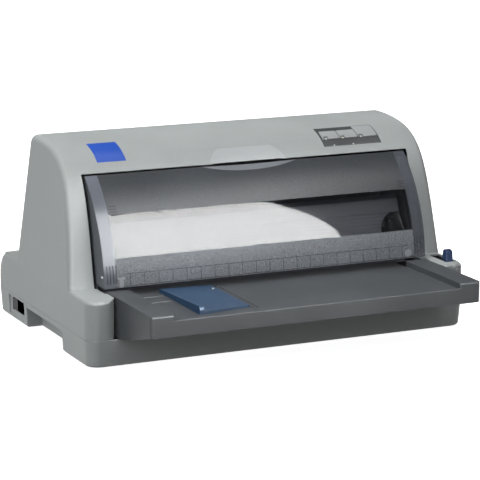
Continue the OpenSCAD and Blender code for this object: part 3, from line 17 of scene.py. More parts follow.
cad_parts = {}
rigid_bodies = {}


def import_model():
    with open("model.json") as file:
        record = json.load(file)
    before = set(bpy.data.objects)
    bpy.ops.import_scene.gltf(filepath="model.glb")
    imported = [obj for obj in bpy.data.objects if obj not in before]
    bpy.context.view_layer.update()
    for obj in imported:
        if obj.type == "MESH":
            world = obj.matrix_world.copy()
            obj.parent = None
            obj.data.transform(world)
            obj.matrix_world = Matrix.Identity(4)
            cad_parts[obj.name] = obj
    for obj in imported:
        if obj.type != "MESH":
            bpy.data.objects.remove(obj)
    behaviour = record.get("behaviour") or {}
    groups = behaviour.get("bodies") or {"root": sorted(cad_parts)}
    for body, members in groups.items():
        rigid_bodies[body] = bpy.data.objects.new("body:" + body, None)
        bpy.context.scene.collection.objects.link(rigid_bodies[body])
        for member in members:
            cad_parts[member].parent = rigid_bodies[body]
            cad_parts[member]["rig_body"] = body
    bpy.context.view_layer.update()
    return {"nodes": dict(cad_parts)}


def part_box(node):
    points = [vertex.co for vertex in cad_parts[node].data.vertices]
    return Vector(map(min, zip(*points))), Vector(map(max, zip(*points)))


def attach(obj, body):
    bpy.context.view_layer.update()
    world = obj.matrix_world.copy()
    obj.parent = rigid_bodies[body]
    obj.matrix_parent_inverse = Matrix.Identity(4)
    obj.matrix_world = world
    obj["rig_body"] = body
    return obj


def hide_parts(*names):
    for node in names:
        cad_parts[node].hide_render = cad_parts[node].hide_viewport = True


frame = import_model()
nodes = frame["nodes"]
body_of = {name: obj["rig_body"] for name, obj in nodes.items()}

# %% [markdown]
# ## Camera
# The camera stands to the left of the machine and a little above it, far away behind a long
# lens, so the upright edges stay almost parallel. It comes first, because every later choice
# of detail is judged from here.

# %% Set up the camera
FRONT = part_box("lower_case")[0][1]           # Y of the body's front face
CAMERA_PLACE = (-1.0776, FRONT - 2.1726, 0.6591)
PICTURE_RIGHT = (0.9052, -0.4250, 0.0045)    # where the right side of the picture points
PICTURE_UP = (0.0877, 0.1971, 0.9765)
SENSOR, LENS = 36, 168.0                     # both in millimetres


def link_object(name, data):
    obj = bpy.data.objects.new(name, data)
    bpy.context.scene.collection.objects.link(obj)
    return obj


def make_camera():
    data = bpy.data.cameras.new("portrait_camera")
    data.sensor_width = SENSOR
    data.lens = LENS
    data.clip_end = 20
    right = Vector(PICTURE_RIGHT).normalized()
    back = right.cross(Vector(PICTURE_UP)).normalized()
    turn = Matrix((right, back.cross(right), back)).transposed().to_4x4()
    camera = link_object("portrait_camera", data)
    camera.matrix_world = Matrix.Translation(CAMERA_PLACE) @ turn
    bpy.context.scene.camera = camera
    return camera


print("camera at", [round(v, 3) for v in make_camera().location])

# %% [markdown]
# ## Materials
# Moulded plastic is never one flat colour. The real casing has a spark-eroded grain a few
# tenths of a millimetre across, very faint clouds of tone, and a roughness that varies with
# handling. One helper builds that recipe, and each plastic calls it with its own values.
# All patterns read Object coordinates, so they stay fixed to the piece as it moves.

# %% Helpers that add a pattern
def new_material(name):
    material = bpy.data.materials.new(name)
    material.use_nodes = True
    tree = material.node_tree
    return material, tree, tree.nodes["Principled BSDF"]


def add(tree, kind, **values):
    node = tree.nodes.new(kind)
    for key, value in values.items():
        setattr(node, key, value)
    return node


def noise(tree, scale, detail, stretch=(1, 1, 1)):
    place = add(tree, "ShaderNodeTexCoord")
    turn = add(tree, "ShaderNodeMapping")
    turn.inputs["Scale"].default_value = stretch
    tex = add(tree, "ShaderNodeTexNoise")
    tex.inputs["Scale"].default_value = scale
    tex.inputs["Detail"].default_value = detail
    tree.links.new(place.outputs["Object"], turn.inputs["Vector"])
    tree.links.new(turn.outputs["Vector"], tex.inputs["Vector"])
    return tex.outputs["Fac"]


def ramp(tree, source, stops):
    node = add(tree, "ShaderNodeValToRGB")
    band = node.color_ramp
    while len(band.elements) < len(stops):
        band.elements.new(0.5)
    for element, (place, colour) in zip(band.elements, stops):
        element.position = place
        element.color = (*colour, 1)
    tree.links.new(source, node.inputs["Fac"])
    return node.outputs["Color"]


# %% Helpers that turn a pattern into tone, roughness and relief
NOISE_LOW, NOISE_HIGH = 0.3, 0.7    # nearly every value of a noise texture lies in between


def value_range(tree, source, low, high):
    node = add(tree, "ShaderNodeMapRange")
    node.inputs["From Min"].default_value = NOISE_LOW
    node.inputs["From Max"].default_value = NOISE_HIGH
    node.inputs["To Min"].default_value = low
    node.inputs["To Max"].default_value = high
    tree.links.new(source, node.inputs["Value"])
    return node.outputs["Result"]


def multiplied(tree, colours, marks):
    mix = add(tree, "ShaderNodeMix", data_type="RGBA", blend_type="MULTIPLY")
    mix.inputs["Factor"].default_value = 1
    tree.links.new(colours, mix.inputs["A"])
    tree.links.new(marks, mix.inputs["B"])
    return mix.outputs["Result"]


def bump(tree, shader, height, strength, distance):
    node = add(tree, "ShaderNodeBump")
    node.inputs["Strength"].default_value = strength
    node.inputs["Distance"].default_value = distance
    tree.links.new(height, node.inputs["Height"])
    tree.links.new(node.outputs["Normal"], shader.inputs["Normal"])


def shade(colour, factor):
    return tuple(min(1, c * factor) for c in colour)


def two_tones(tree, source, colour, swing, low=NOISE_LOW, high=NOISE_HIGH):
    """A colour that a noise makes darker and lighter by the same share."""
    return ramp(tree, source, [(low, shade(colour, 1 - swing)), (high, shade(colour, 1 + swing))])


print("a middle grey, 4 percent darker:", shade((0.5, 0.5, 0.5), 0.96))

# %% The moulded plastic recipe
CLOUD_SCALE, SPECK_SCALE, GRAIN_SCALE = 14, 900, 2200    # the larger, the finer the pattern
SPECK_TONE = (0.955, 0.955, 0.955)
GRAIN_DEPTH = 0.00012


def moulded(name, colour, rough, grain=0.12, cloud=0.04, gloss=0.22):
    material, tree, shader = new_material(name)
    clouds = noise(tree, CLOUD_SCALE, 3)
    speck = noise(tree, SPECK_SCALE, 2)
    tones = two_tones(tree, clouds, colour, cloud)
    specks = ramp(tree, speck, [(0.35, SPECK_TONE), (0.65, (1, 1, 1))])
    tree.links.new(multiplied(tree, tones, specks), shader.inputs["Base Color"])
    handled = value_range(tree, clouds, rough - 0.04, rough + 0.05)
    tree.links.new(handled, shader.inputs["Roughness"])
    bump(tree, shader, noise(tree, GRAIN_SCALE, 2), grain, GRAIN_DEPTH)
    shader.inputs["Specular IOR Level"].default_value = gloss
    return material


case_grey = moulded("case_grey_moulding", (0.345, 0.368, 0.366), 0.52, gloss=0.15)
tray_grey = moulded("tray_grey_moulding", (0.046, 0.051, 0.056), 0.5, grain=0.18)
# painted highlight: the pocket's paler tone stands for the light its floor catches
pocket_painted_highlight = moulded("pocket_grey_moulding", (0.39, 0.415, 0.425), 0.45, grain=0.04)
inner_black = moulded("inner_black_moulding", (0.022, 0.023, 0.025), 0.5)
plate_grey = moulded("plate_grey_moulding", (0.34, 0.365, 0.43), 0.5)
inner_grey = moulded("inner_grey_moulding", (0.090, 0.095, 0.110), 0.55)
key_grey = moulded("key_grey_moulding", (0.35, 0.365, 0.375), 0.45, grain=0.05)
panel_grey = moulded("panel_grey_moulding", (0.048, 0.052, 0.055), 0.42, grain=0.08)
guide_blue = moulded("guide_blue_moulding", (0.016, 0.046, 0.096), 0.40, grain=0.06)
lever_blue = moulded("lever_blue_moulding", (0.012, 0.030, 0.090), 0.34, grain=0.05)
acetal = moulded("natural_acetal", (0.72, 0.68, 0.56), 0.35, grain=0.03)
badge_blue = moulded("badge_blue_foil", (0.016, 0.082, 0.47), 0.35, grain=0.02, cloud=0.02)
print(len(bpy.data.materials), "materials so far")

# %% [markdown]
# Metals are told apart by how they were finished: zinc-plated sheet has soft spangles, a
# ground shaft has fine scratches around it, and a die casting is matt and slightly pitted.
# The frame's sheet is passivated, which leaves it dark, and its cut edges don't shine.

# %% Metals and rubber
SPANGLE_SCALE, SCRATCH_SCALE = 60, 700
SCRATCH_DEPTH = 0.00008


def metal(name, colour, rough, scratch=0.0, stretch=(1, 1, 1), spangle=0.06):
    material, tree, shader = new_material(name)
    shader.inputs["Metallic"].default_value = 1.0
    patches = noise(tree, SPANGLE_SCALE, 3, stretch)
    tones = two_tones(tree, patches, colour, spangle, 0.35, 0.65)
    tree.links.new(tones, shader.inputs["Base Color"])
    uneven = value_range(tree, patches, rough - 0.05, rough + 0.06)
    tree.links.new(uneven, shader.inputs["Roughness"])
    if scratch:
        bump(tree, shader, noise(tree, SCRATCH_SCALE, 3, stretch), scratch, SCRATCH_DEPTH)
    return material


zinc_sheet = metal("zinc_plated_sheet", (0.56, 0.57, 0.58), 0.34, 0.1)
# The beam and the rail inside the hood are dark sheet: partly their finish, partly painted shade
dark_sheet_and_shade = metal("blackened_sheet", (0.035, 0.036, 0.039), 0.42, 0.1)
ground_steel = metal("ground_steel_bar", (0.66, 0.66, 0.67), 0.16, 0.12, (8, 0.4, 0.4), 0.03)
turned_brass = metal("turned_brass", (0.62, 0.44, 0.17), 0.28, 0.1, (6, 1, 1))
frame_sheet = metal("passivated_frame_sheet", (0.15, 0.155, 0.165), 0.46, 0.1)
motor_can = metal("motor_can_steel", (0.17, 0.175, 0.18), 0.4, 0.08)
head_casting = metal("head_die_casting", (0.12, 0.125, 0.135), 0.45, 0.25)
black_rubber = moulded("black_rubber", (0.016, 0.016, 0.017), 0.72, grain=0.3, cloud=0.12)
clear_lens = moulded("clear_lens", (0.62, 0.68, 0.60), 0.12, grain=0.0, cloud=0.02)
print(len(bpy.data.materials), "materials so far")

# %% [markdown]
# ## From CAD faces to moulded edges
# A CAD solid has knife edges, and light slides over them without a glint. A real moulding or
# pressing has a small radius everywhere. Each visible solid is therefore copied, its flat
# facets are joined, a narrow bevel rounds its edges, and weighted normals keep the large
# faces flat while the small ones roll the highlight.

# %% Round the edges of a copy
SAME_POINT = 3e-5                  # corners closer than this are merged
SHORTEST_EDGE = 5e-6
FLAT_WITHIN = math.radians(0.4)    # facets that meet at less than this become one face
SHARP_FROM = math.radians(38)      # edges that turn by more than this are rounded


def joined_copy(node):
    mesh = nodes[node].data.copy()
    bm = bmesh.new()
    bm.from_mesh(mesh)
    bmesh.ops.remove_doubles(bm, verts=bm.verts, dist=SAME_POINT)
    bmesh.ops.dissolve_degenerate(bm, edges=bm.edges, dist=SHORTEST_EDGE)
    bmesh.ops.dissolve_limit(bm, angle_limit=FLAT_WITHIN, verts=bm.verts, edges=bm.edges)
    for face in bm.faces:
        face.smooth = True
    bm.to_mesh(mesh)
    bm.free()
    mesh.materials.clear()
    return mesh


def applied(obj):
    """Turns an object with live modifiers into a plain mesh object of the same name."""
    bpy.context.view_layer.update()
    name = obj.name
    graph = bpy.context.evaluated_depsgraph_get()
    mesh = bpy.data.meshes.new_from_object(obj.evaluated_get(graph), depsgraph=graph)
    bpy.data.objects.remove(obj)
    return link_object(name, mesh)


def rounded(obj, width):
    edge = obj.modifiers.new("edge", "BEVEL")
    edge.width = width
    edge.segments = 2
    edge.limit_method = "ANGLE"
    edge.angle_limit = SHARP_FROM
    edge.use_clamp_overlap = False
    edge.miter_outer = "MITER_ARC"
    normals = obj.modifiers.new("normals", "WEIGHTED_NORMAL")
    normals.keep_sharp = True
    normals.weight = 50
    return applied(obj)


print("edges that turn by more than", round(math.degrees(SHARP_FROM)), "degrees get rounded")

# %% [markdown]
# The hood has a pocket for the fingers above the cover. Its wall is given a paler tone than
# the grained case, a painted highlight where its floor catches the light, and a smoother
# finish. It could be a solid of its own, but it is the same moulding, so its faces are found
# by where they lie and get a second finish.

# %% Find the pocket's faces
POCKET_REACH = 0.049              # no corner of them lies further from the middle
POCKET_Y = (-0.0095, 0.0063)
POCKET_Z = (0.196, 0.211)


# Gives the pocket's faces the paler material, a painted highlight.
def paint_pocket_highlight(mesh):
    mesh.materials.append(pocket_painted_highlight)
    found = 0
    for face in mesh.polygons:
        _, y, z = face.center
        reach = max(abs(mesh.vertices[k].co.x) for k in face.vertices)
        placed = POCKET_Y[0] < y < POCKET_Y[1] and POCKET_Z[0] < z < POCKET_Z[1]
        if placed and reach < POCKET_REACH and face.normal.y < -0.5:
            face.material_index = 1
            found += 1
    print("the pocket has", found, "faces")


# %% Dress one solid
def dressed(node, material, slot, width):
    obj = link_object(node + "_dressed", joined_copy(node))
    obj.data.materials.append(material)
    if node == "upper_case":
        paint_pocket_highlight(obj.data)
    piece = rounded(obj, width)
    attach(piece, body_of[node])
    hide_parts(node)
    return piece


# %% Dress the mouldings and pressings
for node, material, slot, width in [
        ("upper_case", case_grey, "case_plastic", 0.0006),
        ("lower_case", case_grey, "case_plastic", 0.0006),
        ("rear_cover", case_grey, "case_plastic", 0.0005),
        ("front_tray", tray_grey, "tray_plastic", 0.0006),
        ("release_lever", lever_blue, "blue_plastic", 0.0007),
        ("control_panel", panel_grey, "dark_plastic", 0.0002),
        ("button_left", key_grey, "key_plastic", 0.0005),
        ("button_middle", key_grey, "key_plastic", 0.0005),
        ("button_right", key_grey, "key_plastic", 0.0005),
        ("badge_plate", badge_blue, "badge_blue", 0.0002),
        ("switch_bezel", case_grey, "dark_plastic", 0.0002),
        ("power_rocker", inner_black, "dark_plastic", 0.0004),
        ("rubber_feet", black_rubber, "rubber", 0.0005),
        ("guide_plate", plate_grey, "dark_plastic", 0.0002),
        ("thickness_lever", inner_black, "dark_plastic", 0.0005),
        ("carriage", inner_black, "dark_plastic", 0.0005),
        ("ribbon_cartridge", inner_black, "dark_plastic", 0.0004),
        ("platen", black_rubber, "dark_plastic", 0.0003),
        ("lower_guide", inner_grey, "dark_plastic", 0.0003),
        ("side_frame_left", frame_sheet, "sheet_steel", 0.0002),
        ("side_frame_right", frame_sheet, "sheet_steel", 0.0002),
        ("base_frame", zinc_sheet, "sheet_steel", 0.0002),
        # darkened beyond their finish as painted shade inside the hood
        ("rear_beam", dark_sheet_and_shade, "sheet_steel", 0.0002),
        ("guide_rail", dark_sheet_and_shade, "sheet_steel", 0.0002)]:
    piece = dressed(node, material, slot, width)
    print(f"{piece.name}: {len(piece.data.polygons)} faces")

# %% [markdown]
# The blue edge guide and the small solids inside already have the right shape, so they stay
# as they are and only receive a finish. The guide is one large flat face with a few corners,
# and a bevel there leaves thin slivers that catch the light as creases.

# %% Finish the solids that stay
kept_solids = [
    (guide_blue, ["edge_guide", "tractor_lock_left", "tractor_lock_right"]),
    (clear_lens, ["indicator_lenses"]),
    (ground_steel, ["carriage_shaft", "tractor_rail", "motor_pulley", "idler_pulley",
                    "front_feed_shaft", "rear_feed_shaft", "tractor_drive_shaft"]),
    (motor_can, ["carriage_motor", "feed_motor"]),
    (zinc_sheet, ["power_supply", "usb_connector"]),
    (inner_black, ["ac_inlet", "parallel_connector", "main_board", "tractor_left",
                   "tractor_right"]),
    (head_casting, ["print_head"]),
    (black_rubber, ["timing_belt", "front_feed_rollers", "rear_feed_rollers",
                    "front_pinch_rollers", "rear_pinch_rollers"]),
    (acetal, ["shaft_bushes", "feed_idler_gear", "tractor_idler_gear",
              "tractor_sprocket_left", "tractor_sprocket_right"]),
    (turned_brass, ["feed_pinion"]),
    (inner_grey, ["tractor_door_left", "tractor_door_right"])]
for material, names in kept_solids:
    for name in names:
        obj = nodes[name]
        obj.data.materials.clear()
        obj.data.materials.append(material)
print(sum(len(names) for _, names in kept_solids), "solids finished in place")

# %% [markdown]
# ## The smoke cover
# The real cover is one moulding of tinted, see-through plastic. The tool's surface was left
# polished along a window band and at both ends, and spark-textured above and below it, so the
# same plastic looks clear in one place and frosted in another. Its ends and the scoop under
# the hood's pocket bend towards the light and look paler; that light is painted here, as paler
# copies of the smoke, the left end paler than the right. One mesh is cut along the borders of
# those zones, and each zone gets its own material. The tint is done with alpha and not with
# refraction: a thin sheet barely bends light, and alpha renders without noise.

# %% The finishes of the smoke plastic
SMOKE_CLOUD_SCALE, SMOKE_GRAIN_DEPTH = 9, 0.0003


def smoke(name, colour, alpha, rough, speckle=0.0, size=1300, gloss=0.5):
    material, tree, shader = new_material(name)
    clouds = noise(tree, SMOKE_CLOUD_SCALE, 2)
    tones = two_tones(tree, clouds, colour, 0.07)
    uneven = value_range(tree, clouds, rough * 0.9, rough * 1.1)
    tree.links.new(uneven, shader.inputs["Roughness"])
    shader.inputs["Alpha"].default_value = alpha
    if speckle:
        grains = noise(tree, size, 1)
        dots = ramp(tree, grains, [(0.35, (1 - speckle,) * 3), (0.5, (1, 1, 1)),
                                   (0.68, (1 + speckle,) * 3)])
        tones = multiplied(tree, tones, dots)
        bump(tree, shader, grains, 0.35, SMOKE_GRAIN_DEPTH)
    tree.links.new(tones, shader.inputs["Base Color"])
    shader.inputs["IOR"].default_value = 1.5
    shader.inputs["Specular IOR Level"].default_value = gloss
    return material


smoke_clear = smoke("smoke_polished", (0.010, 0.012, 0.016), 0.32, 0.03)
# Painted light: the polished ends and the scoop are paler copies of the smoke, the left end palest
right_end_painted_light = smoke("smoke_polished_end", (0.150, 0.163, 0.190), 0.62, 0.15, gloss=0.3)
left_end_painted_light = smoke("smoke_polished_end_lit", (0.22, 0.24, 0.285), 0.7, 0.2, gloss=0.2)
smoke_upper = smoke("smoke_textured_upper", (0.046, 0.051, 0.058), 0.93, 0.34, 0.25, gloss=0.12)
smoke_scoop = smoke("smoke_scoop", (0.21, 0.225, 0.245), 0.94, 0.4, 0.15, gloss=0.12)
smoke_lower = smoke("smoke_textured_lower", (0.142, 0.155, 0.172), 0.90, 0.5, 0.4, 1000, 0.12)
smoke_side = smoke("smoke_side_wall", (0.105, 0.115, 0.125), 0.92, 0.35, gloss=0.2)
print(len(bpy.data.materials), "materials so far")

# %% Choose a finish for each face of the cover
WINDOW = (0.111, 0.156)    # heights between which the cover is polished
CLEAR_END = 0.186          # the cover is polished beyond this distance from the middle
SCOOP_FOOT = 0.165         # the scoop under the hood's pocket begins at this height
SCOOP_HALF = 0.0605        # half of its width
cover_finishes = [smoke_clear, right_end_painted_light, smoke_upper, smoke_lower, smoke_side, left_end_painted_light,
                  smoke_scoop]


def cover_finish(face):
    middle = face.calc_center_median()
    across = [v.co.x for v in face.verts]
    narrow = abs(middle.x) < SCOOP_HALF and max(across) - min(across) < 2 * SCOOP_HALF
    if abs(face.normal.x) > 0.7:
        return smoke_side
    # painted highlight on the scoop's faces
    if middle.z > SCOOP_FOOT and narrow and face.normal.y < -0.2:
        return smoke_scoop
    # painted light on the ends, more on the left
    if abs(middle.x) > CLEAR_END:
        return right_end_painted_light if middle.x > 0 else left_end_painted_light
    if middle.z > WINDOW[1]:
        return smoke_upper
    return smoke_lower if middle.z < WINDOW[0] else smoke_clear


# %% Cut the cover into its zones
def zoned_cover():
    mesh = joined_copy("front_cover")
    bm = bmesh.new()
    bm.from_mesh(mesh)
    for point, normal in [((0, 0, WINDOW[0]), (0, 0, 1)), ((0, 0, WINDOW[1]), (0, 0, 1)),
                          ((-CLEAR_END, 0, 0), (1, 0, 0)), ((CLEAR_END, 0, 0), (1, 0, 0))]:
        bmesh.ops.bisect_plane(bm, geom=bm.verts[:] + bm.edges[:] + bm.faces[:],
                               plane_co=point, plane_no=normal, dist=1e-6)
    for face in bm.faces:
        face.material_index = cover_finishes.index(cover_finish(face))
        face.smooth = True
    bm.to_mesh(mesh)
    bm.free()
    for material in cover_finishes:
        mesh.materials.append(material)
    return link_object("front_cover_smoke", mesh)


cover = rounded(zoned_cover(), 0.0003)
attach(cover, body_of["front_cover"])
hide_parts("front_cover")
print("cover:", len(cover.data.polygons), "faces")

# %% [markdown]
# ## What repeats: two Geometry Nodes trees
# A printer is full of rows: ribs on the cover, bars on the ribbon's grips, contacts in a
# socket, teeth on a belt. Copying them by hand would hide the rule behind them, so each row
# is one shape and a few numbers. The first tree lays a shape on a grid of points; the second
# lays it along a closed path. Both end by realizing their copies and giving them a finish,
# and their result is then kept as a plain mesh.

# %% Helpers for trees and small shapes
def mesh_from(name, bm):
    bmesh.ops.recalc_face_normals(bm, faces=bm.faces)
    mesh = bpy.data.meshes.new(name)
    bm.to_mesh(mesh)
    bm.free()
    return mesh


def soft_bar(name, size, edge):
    """A bar about the origin, with its twelve edges bevelled."""
    bm = bmesh.new()
    bmesh.ops.create_cube(bm, size=1)
    bmesh.ops.scale(bm, vec=size, verts=bm.verts)
    bmesh.ops.bevel(bm, geom=bm.edges[:], offset=edge, segments=1, affect="EDGES")
    return link_object(name, mesh_from(name, bm))


def new_tree(name, inputs):
    tree = bpy.data.node_groups.new(name, "GeometryNodeTree")
    sockets = tree.interface
    sockets.new_socket(name="Geometry", in_out="INPUT", socket_type="NodeSocketGeometry")
    for label, kind in inputs:
        sockets.new_socket(name=label, in_out="INPUT", socket_type="NodeSocket" + kind)
    sockets.new_socket(name="Geometry", in_out="OUTPUT", socket_type="NodeSocketGeometry")
    return tree, tree.nodes.new("NodeGroupInput"), tree.nodes.new("NodeGroupOutput")


def finish_tree(tree, source, entry, exit_node):
    """Every tree ends alike: real geometry first, then its finish."""
    real = tree.nodes.new("GeometryNodeRealizeInstances")
    paint = tree.nodes.new("GeometryNodeSetMaterial")
    tree.links.new(source, real.inputs["Geometry"])
    tree.links.new(real.outputs["Geometry"], paint.inputs["Geometry"])
    tree.links.new(entry.outputs["Finish"], paint.inputs["Material"])
    tree.links.new(paint.outputs["Geometry"], exit_node.inputs["Geometry"])


# %% The tree that lays a shape on a grid
def make_row_tree():
    tree, entry, exit_node = new_tree("rows_of_a_shape", [
        ("Shape", "Object"), ("Count A", "Int"), ("Count B", "Int"), ("Pitch A", "Float"),
        ("Pitch B", "Float"), ("Turn", "Vector"), ("Place", "Vector"), ("Finish", "Material")])
    grid = tree.nodes.new("GeometryNodeMeshGrid")
    for axis, letter in (("X", "A"), ("Y", "B")):
        less = add(tree, "ShaderNodeMath", operation="SUBTRACT")
        less.inputs[1].default_value = 1
        span = add(tree, "ShaderNodeMath", operation="MULTIPLY")
        tree.links.new(entry.outputs["Count " + letter], less.inputs[0])
        tree.links.new(less.outputs[0], span.inputs[0])
        tree.links.new(entry.outputs["Pitch " + letter], span.inputs[1])
        tree.links.new(span.outputs[0], grid.inputs["Size " + axis])
        tree.links.new(entry.outputs["Count " + letter], grid.inputs["Vertices " + axis])
    shape = tree.nodes.new("GeometryNodeObjectInfo")
    copies = tree.nodes.new("GeometryNodeInstanceOnPoints")
    move = tree.nodes.new("GeometryNodeTransform")
    tree.links.new(entry.outputs["Shape"], shape.inputs["Object"])
    tree.links.new(grid.outputs["Mesh"], copies.inputs["Points"])
    tree.links.new(shape.outputs["Geometry"], copies.inputs["Instance"])
    tree.links.new(copies.outputs["Instances"], move.inputs["Geometry"])
    tree.links.new(entry.outputs["Turn"], move.inputs["Rotation"])
    tree.links.new(entry.outputs["Place"], move.inputs["Translation"])
    finish_tree(tree, move.outputs["Geometry"], entry, exit_node)
    return tree


row_tree = make_row_tree()
print("row tree:", len(row_tree.nodes), "nodes")


# %% The tree that lays a shape along a closed path
def make_path_tree():
    tree, entry, exit_node = new_tree("shape_along_a_path", [
        ("Shape", "Object"), ("Pitch", "Float"), ("Finish", "Material")])
    path = tree.nodes.new("GeometryNodeMeshToCurve")
    steps = tree.nodes.new("GeometryNodeResampleCurve")
    steps.mode = "LENGTH"
    tangent = tree.nodes.new("GeometryNodeInputTangent")
    align = add(tree, "FunctionNodeAlignRotationToVector", axis="X", pivot_axis="Z")
    shape = tree.nodes.new("GeometryNodeObjectInfo")
    copies = tree.nodes.new("GeometryNodeInstanceOnPoints")
    tree.links.new(entry.outputs["Geometry"], path.inputs["Mesh"])
    tree.links.new(path.outputs["Curve"], steps.inputs["Curve"])
    tree.links.new(entry.outputs["Pitch"], steps.inputs["Length"])
    tree.links.new(tangent.outputs["Tangent"], align.inputs["Vector"])
    tree.links.new(entry.outputs["Shape"], shape.inputs["Object"])
    tree.links.new(steps.outputs["Curve"], copies.inputs["Points"])
    tree.links.new(shape.outputs["Geometry"], copies.inputs["Instance"])
    tree.links.new(align.outputs["Rotation"], copies.inputs["Rotation"])
    finish_tree(tree, copies.outputs["Instances"], entry, exit_node)
    return tree


path_tree = make_path_tree()
print("path tree:", len(path_tree.nodes), "nodes")


# %% Grow a piece from a tree
def grown(name, tree, body, slot, base=None, **values):
    """Runs a tree on a new object, keeps the result as a mesh and hangs it on its body."""
    obj = link_object(name, base or bpy.data.meshes.new(name))
    growth = obj.modifiers.new("growth", "NODES")
    growth.node_group = tree
    for item in tree.interface.items_tree:
        label = item.name.lower().replace(" ", "_")
        if item.item_type == "SOCKET" and item.in_out == "INPUT" and label in values:
            growth[item.identifier] = values[label]
    piece = applied(obj)
    bpy.data.objects.remove(values["shape"])
    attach(piece, body)
    print(f"{name}: {len(piece.data.polygons)} faces")
    return piece


def row(name, node, slot, finish, shape, count, pitch, place, rows=1, row_pitch=0.0,
        turn=(0, 0, 0)):
    """One or more rows of a shape, about a place, on the body that carries a CAD node."""
    return grown(name, row_tree, body_of[node], slot, shape=shape, count_a=count,
                 count_b=rows, pitch_a=pitch, pitch_b=row_pitch, turn=turn, place=place,
                 finish=finish)


# %% [markdown]
# ## Ribs behind the cover's lower edge
# The real cover is stiffened along its foot by a row of shallow boxes moulded behind the
# textured band. Through the band they show as fine dark outlines. They are laid a hair proud
# of the outer face here, because the band lets only a little light through. To stay on the
# curved face, each row asks the CAD surface for its place and its slope.

# %% Find the cover's outer face
def surface_of(node):
    bm = bmesh.new()
    bm.from_mesh(nodes[node].data)
    tree = BVHTree.FromBMesh(bm)
    bm.free()

    def ask(x, z, proud):
        """Where the front of the node is at x and z, and how far it leans back."""
        place, normal, _, _ = tree.ray_cast(Vector((x, -1, z)), Vector((0, 1, 0)))
        if normal.y > 0:
            normal = -normal
        return place + normal * proud, math.atan2(normal.z, -normal.y)
    return ask


on_cover = surface_of("front_cover")
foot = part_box("front_cover")[0][2]    # height of the cover's lower edge
for height in (0.02, 0.05, 0.1):
    place, slope = on_cover(0, foot + height, 0)
    print("cover at", round(place.z, 4), "slopes", round(math.degrees(slope), 1), "degrees")

# %% Lay the outlines of the boxes and the ribs at the ends
HAIR = 0.00005            # how far an outline stands proud
TOP_LINE = foot + 0.0150
rib_dark = smoke("smoke_rib", (0.050, 0.055, 0.062), 0.62, 0.5, gloss=0.1)


def cover_row(name, size, count, pitch, z, x=0.0, rows=1, row_pitch=0.0):
    place, slope = on_cover(x, z, HAIR)
    bar = soft_bar(name + "_shape", size, min(size) * 0.3)
    row(name, "front_cover", "smoke_plastic", rib_dark, bar, count, pitch, tuple(place), rows,
        row_pitch, (math.pi / 2 - slope, 0, 0))


cover_row("cover_box_sides", (0.0006, 0.0125, 0.0004), 21, 0.017, foot + 0.0085)
cover_row("cover_box_tops", (0.357, 0.0006, 0.0004), 1, 0.0, TOP_LINE)
cover_row("cover_foot_line", (0.376, 0.0007, 0.0005), 1, 0.0, foot + 0.0016)
for side, x in (("left", -0.1915), ("right", 0.1925)):
    cover_row("cover_end_ribs_" + side, (0.0010, 0.020, 0.0004), 4, 0.0036, TOP_LINE, x)
for side, x in (("left", -0.1790), ("right", 0.1810)):
    cover_row("cover_comb_" + side, (0.0080, 0.0010, 0.0004), 1, 0.0, 0.1600, x, 4, 0.0034)

# %% [markdown]
# ## Marks moulded into the cover
# Near its ends the foot of the cover carries two paler marks: a T-shaped tab on the left and a
# round boss on the right, where the moulding is thicker and scatters more light.

# %% Lay an outline on a surface
SINK = 0.0002    # how deep the underside of a laid piece is let into its surface


def laid_on(ask, name, outline, x, z, thick, finish, body):
    """Extrudes an outline, given across and up the face in metres, and lays it on a surface."""
    bm = bmesh.new()
    face = bm.faces.new([bm.verts.new((u, v, 0)) for u, v in outline])
    lifted = bmesh.ops.extrude_face_region(bm, geom=[face])["geom"]
    bmesh.ops.translate(bm, vec=(0, 0, thick + SINK),
                        verts=[v for v in lifted if isinstance(v, bmesh.types.BMVert)])
    place, slope = ask(x, z, -SINK)
    turn = Matrix.Rotation(math.pi / 2 - slope, 4, "X")
    bmesh.ops.transform(bm, matrix=Matrix.Translation(place) @ turn, verts=bm.verts)
    obj = link_object(name, mesh_from(name, bm))
    obj.data.materials.append(finish)
    piece = rounded(obj, thick * 0.4)
    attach(piece, body)
    print(name, "at", [round(v, 4) for v in place])


def disc(radius, sides=24):
    return [(radius * math.cos(2 * math.pi * i / sides), radius * math.sin(2 * math.pi * i / sides))
            for i in range(sides)]


# %% The T-shaped tab and the round boss
MARK_HEIGHT = 0.0850
mark_pale = smoke("smoke_pale_mark", (0.30, 0.325, 0.35), 0.75, 0.4, gloss=0.25)
tee = [(-0.0045, 0.0035), (-0.0045, 0.0055), (0.0045, 0.0055), (0.0045, 0.0035),
       (0.0026, 0.0030), (0.0026, -0.0055), (-0.0026, -0.0055), (-0.0026, 0.0030)]
for name, outline, x, thick in (("cover_tab", tee, -0.1805, 0.0005),
                                ("cover_boss", disc(0.0045), 0.1780, 0.0006)):
    laid_on(on_cover, name, outline, x, MARK_HEIGHT, thick, mark_pale,
            body_of["front_cover"])

# %% [markdown]
# ## Small marks on the panel and the shoulder
# Two pale dots on the panel show which keys belong together, and a short pale bar sits on the
# shoulder beside the release lever. Each is a thin inlay in the face that carries it.

# %% Dots and the lever's mark
INLAY = 0.0001
mark_white = moulded("mark_white", (0.62, 0.63, 0.64), 0.4, grain=0.02)
on_panel = surface_of("control_panel")
on_case = surface_of("upper_case")
for name, x in (("panel_dot_left", 0.1143), ("panel_dot_right", 0.1393)):
    laid_on(on_panel, name, disc(0.0010, 16), x, 0.2057, INLAY, mark_white,
            body_of["control_panel"])
lever_bar = [(-0.0022, -0.0008), (0.0022, -0.0008), (0.0022, 0.0008), (-0.0022, 0.0008)]
laid_on(on_case, "lever_mark", lever_bar, 0.2220, 0.0695, INLAY, mark_white,
        body_of["upper_case"])
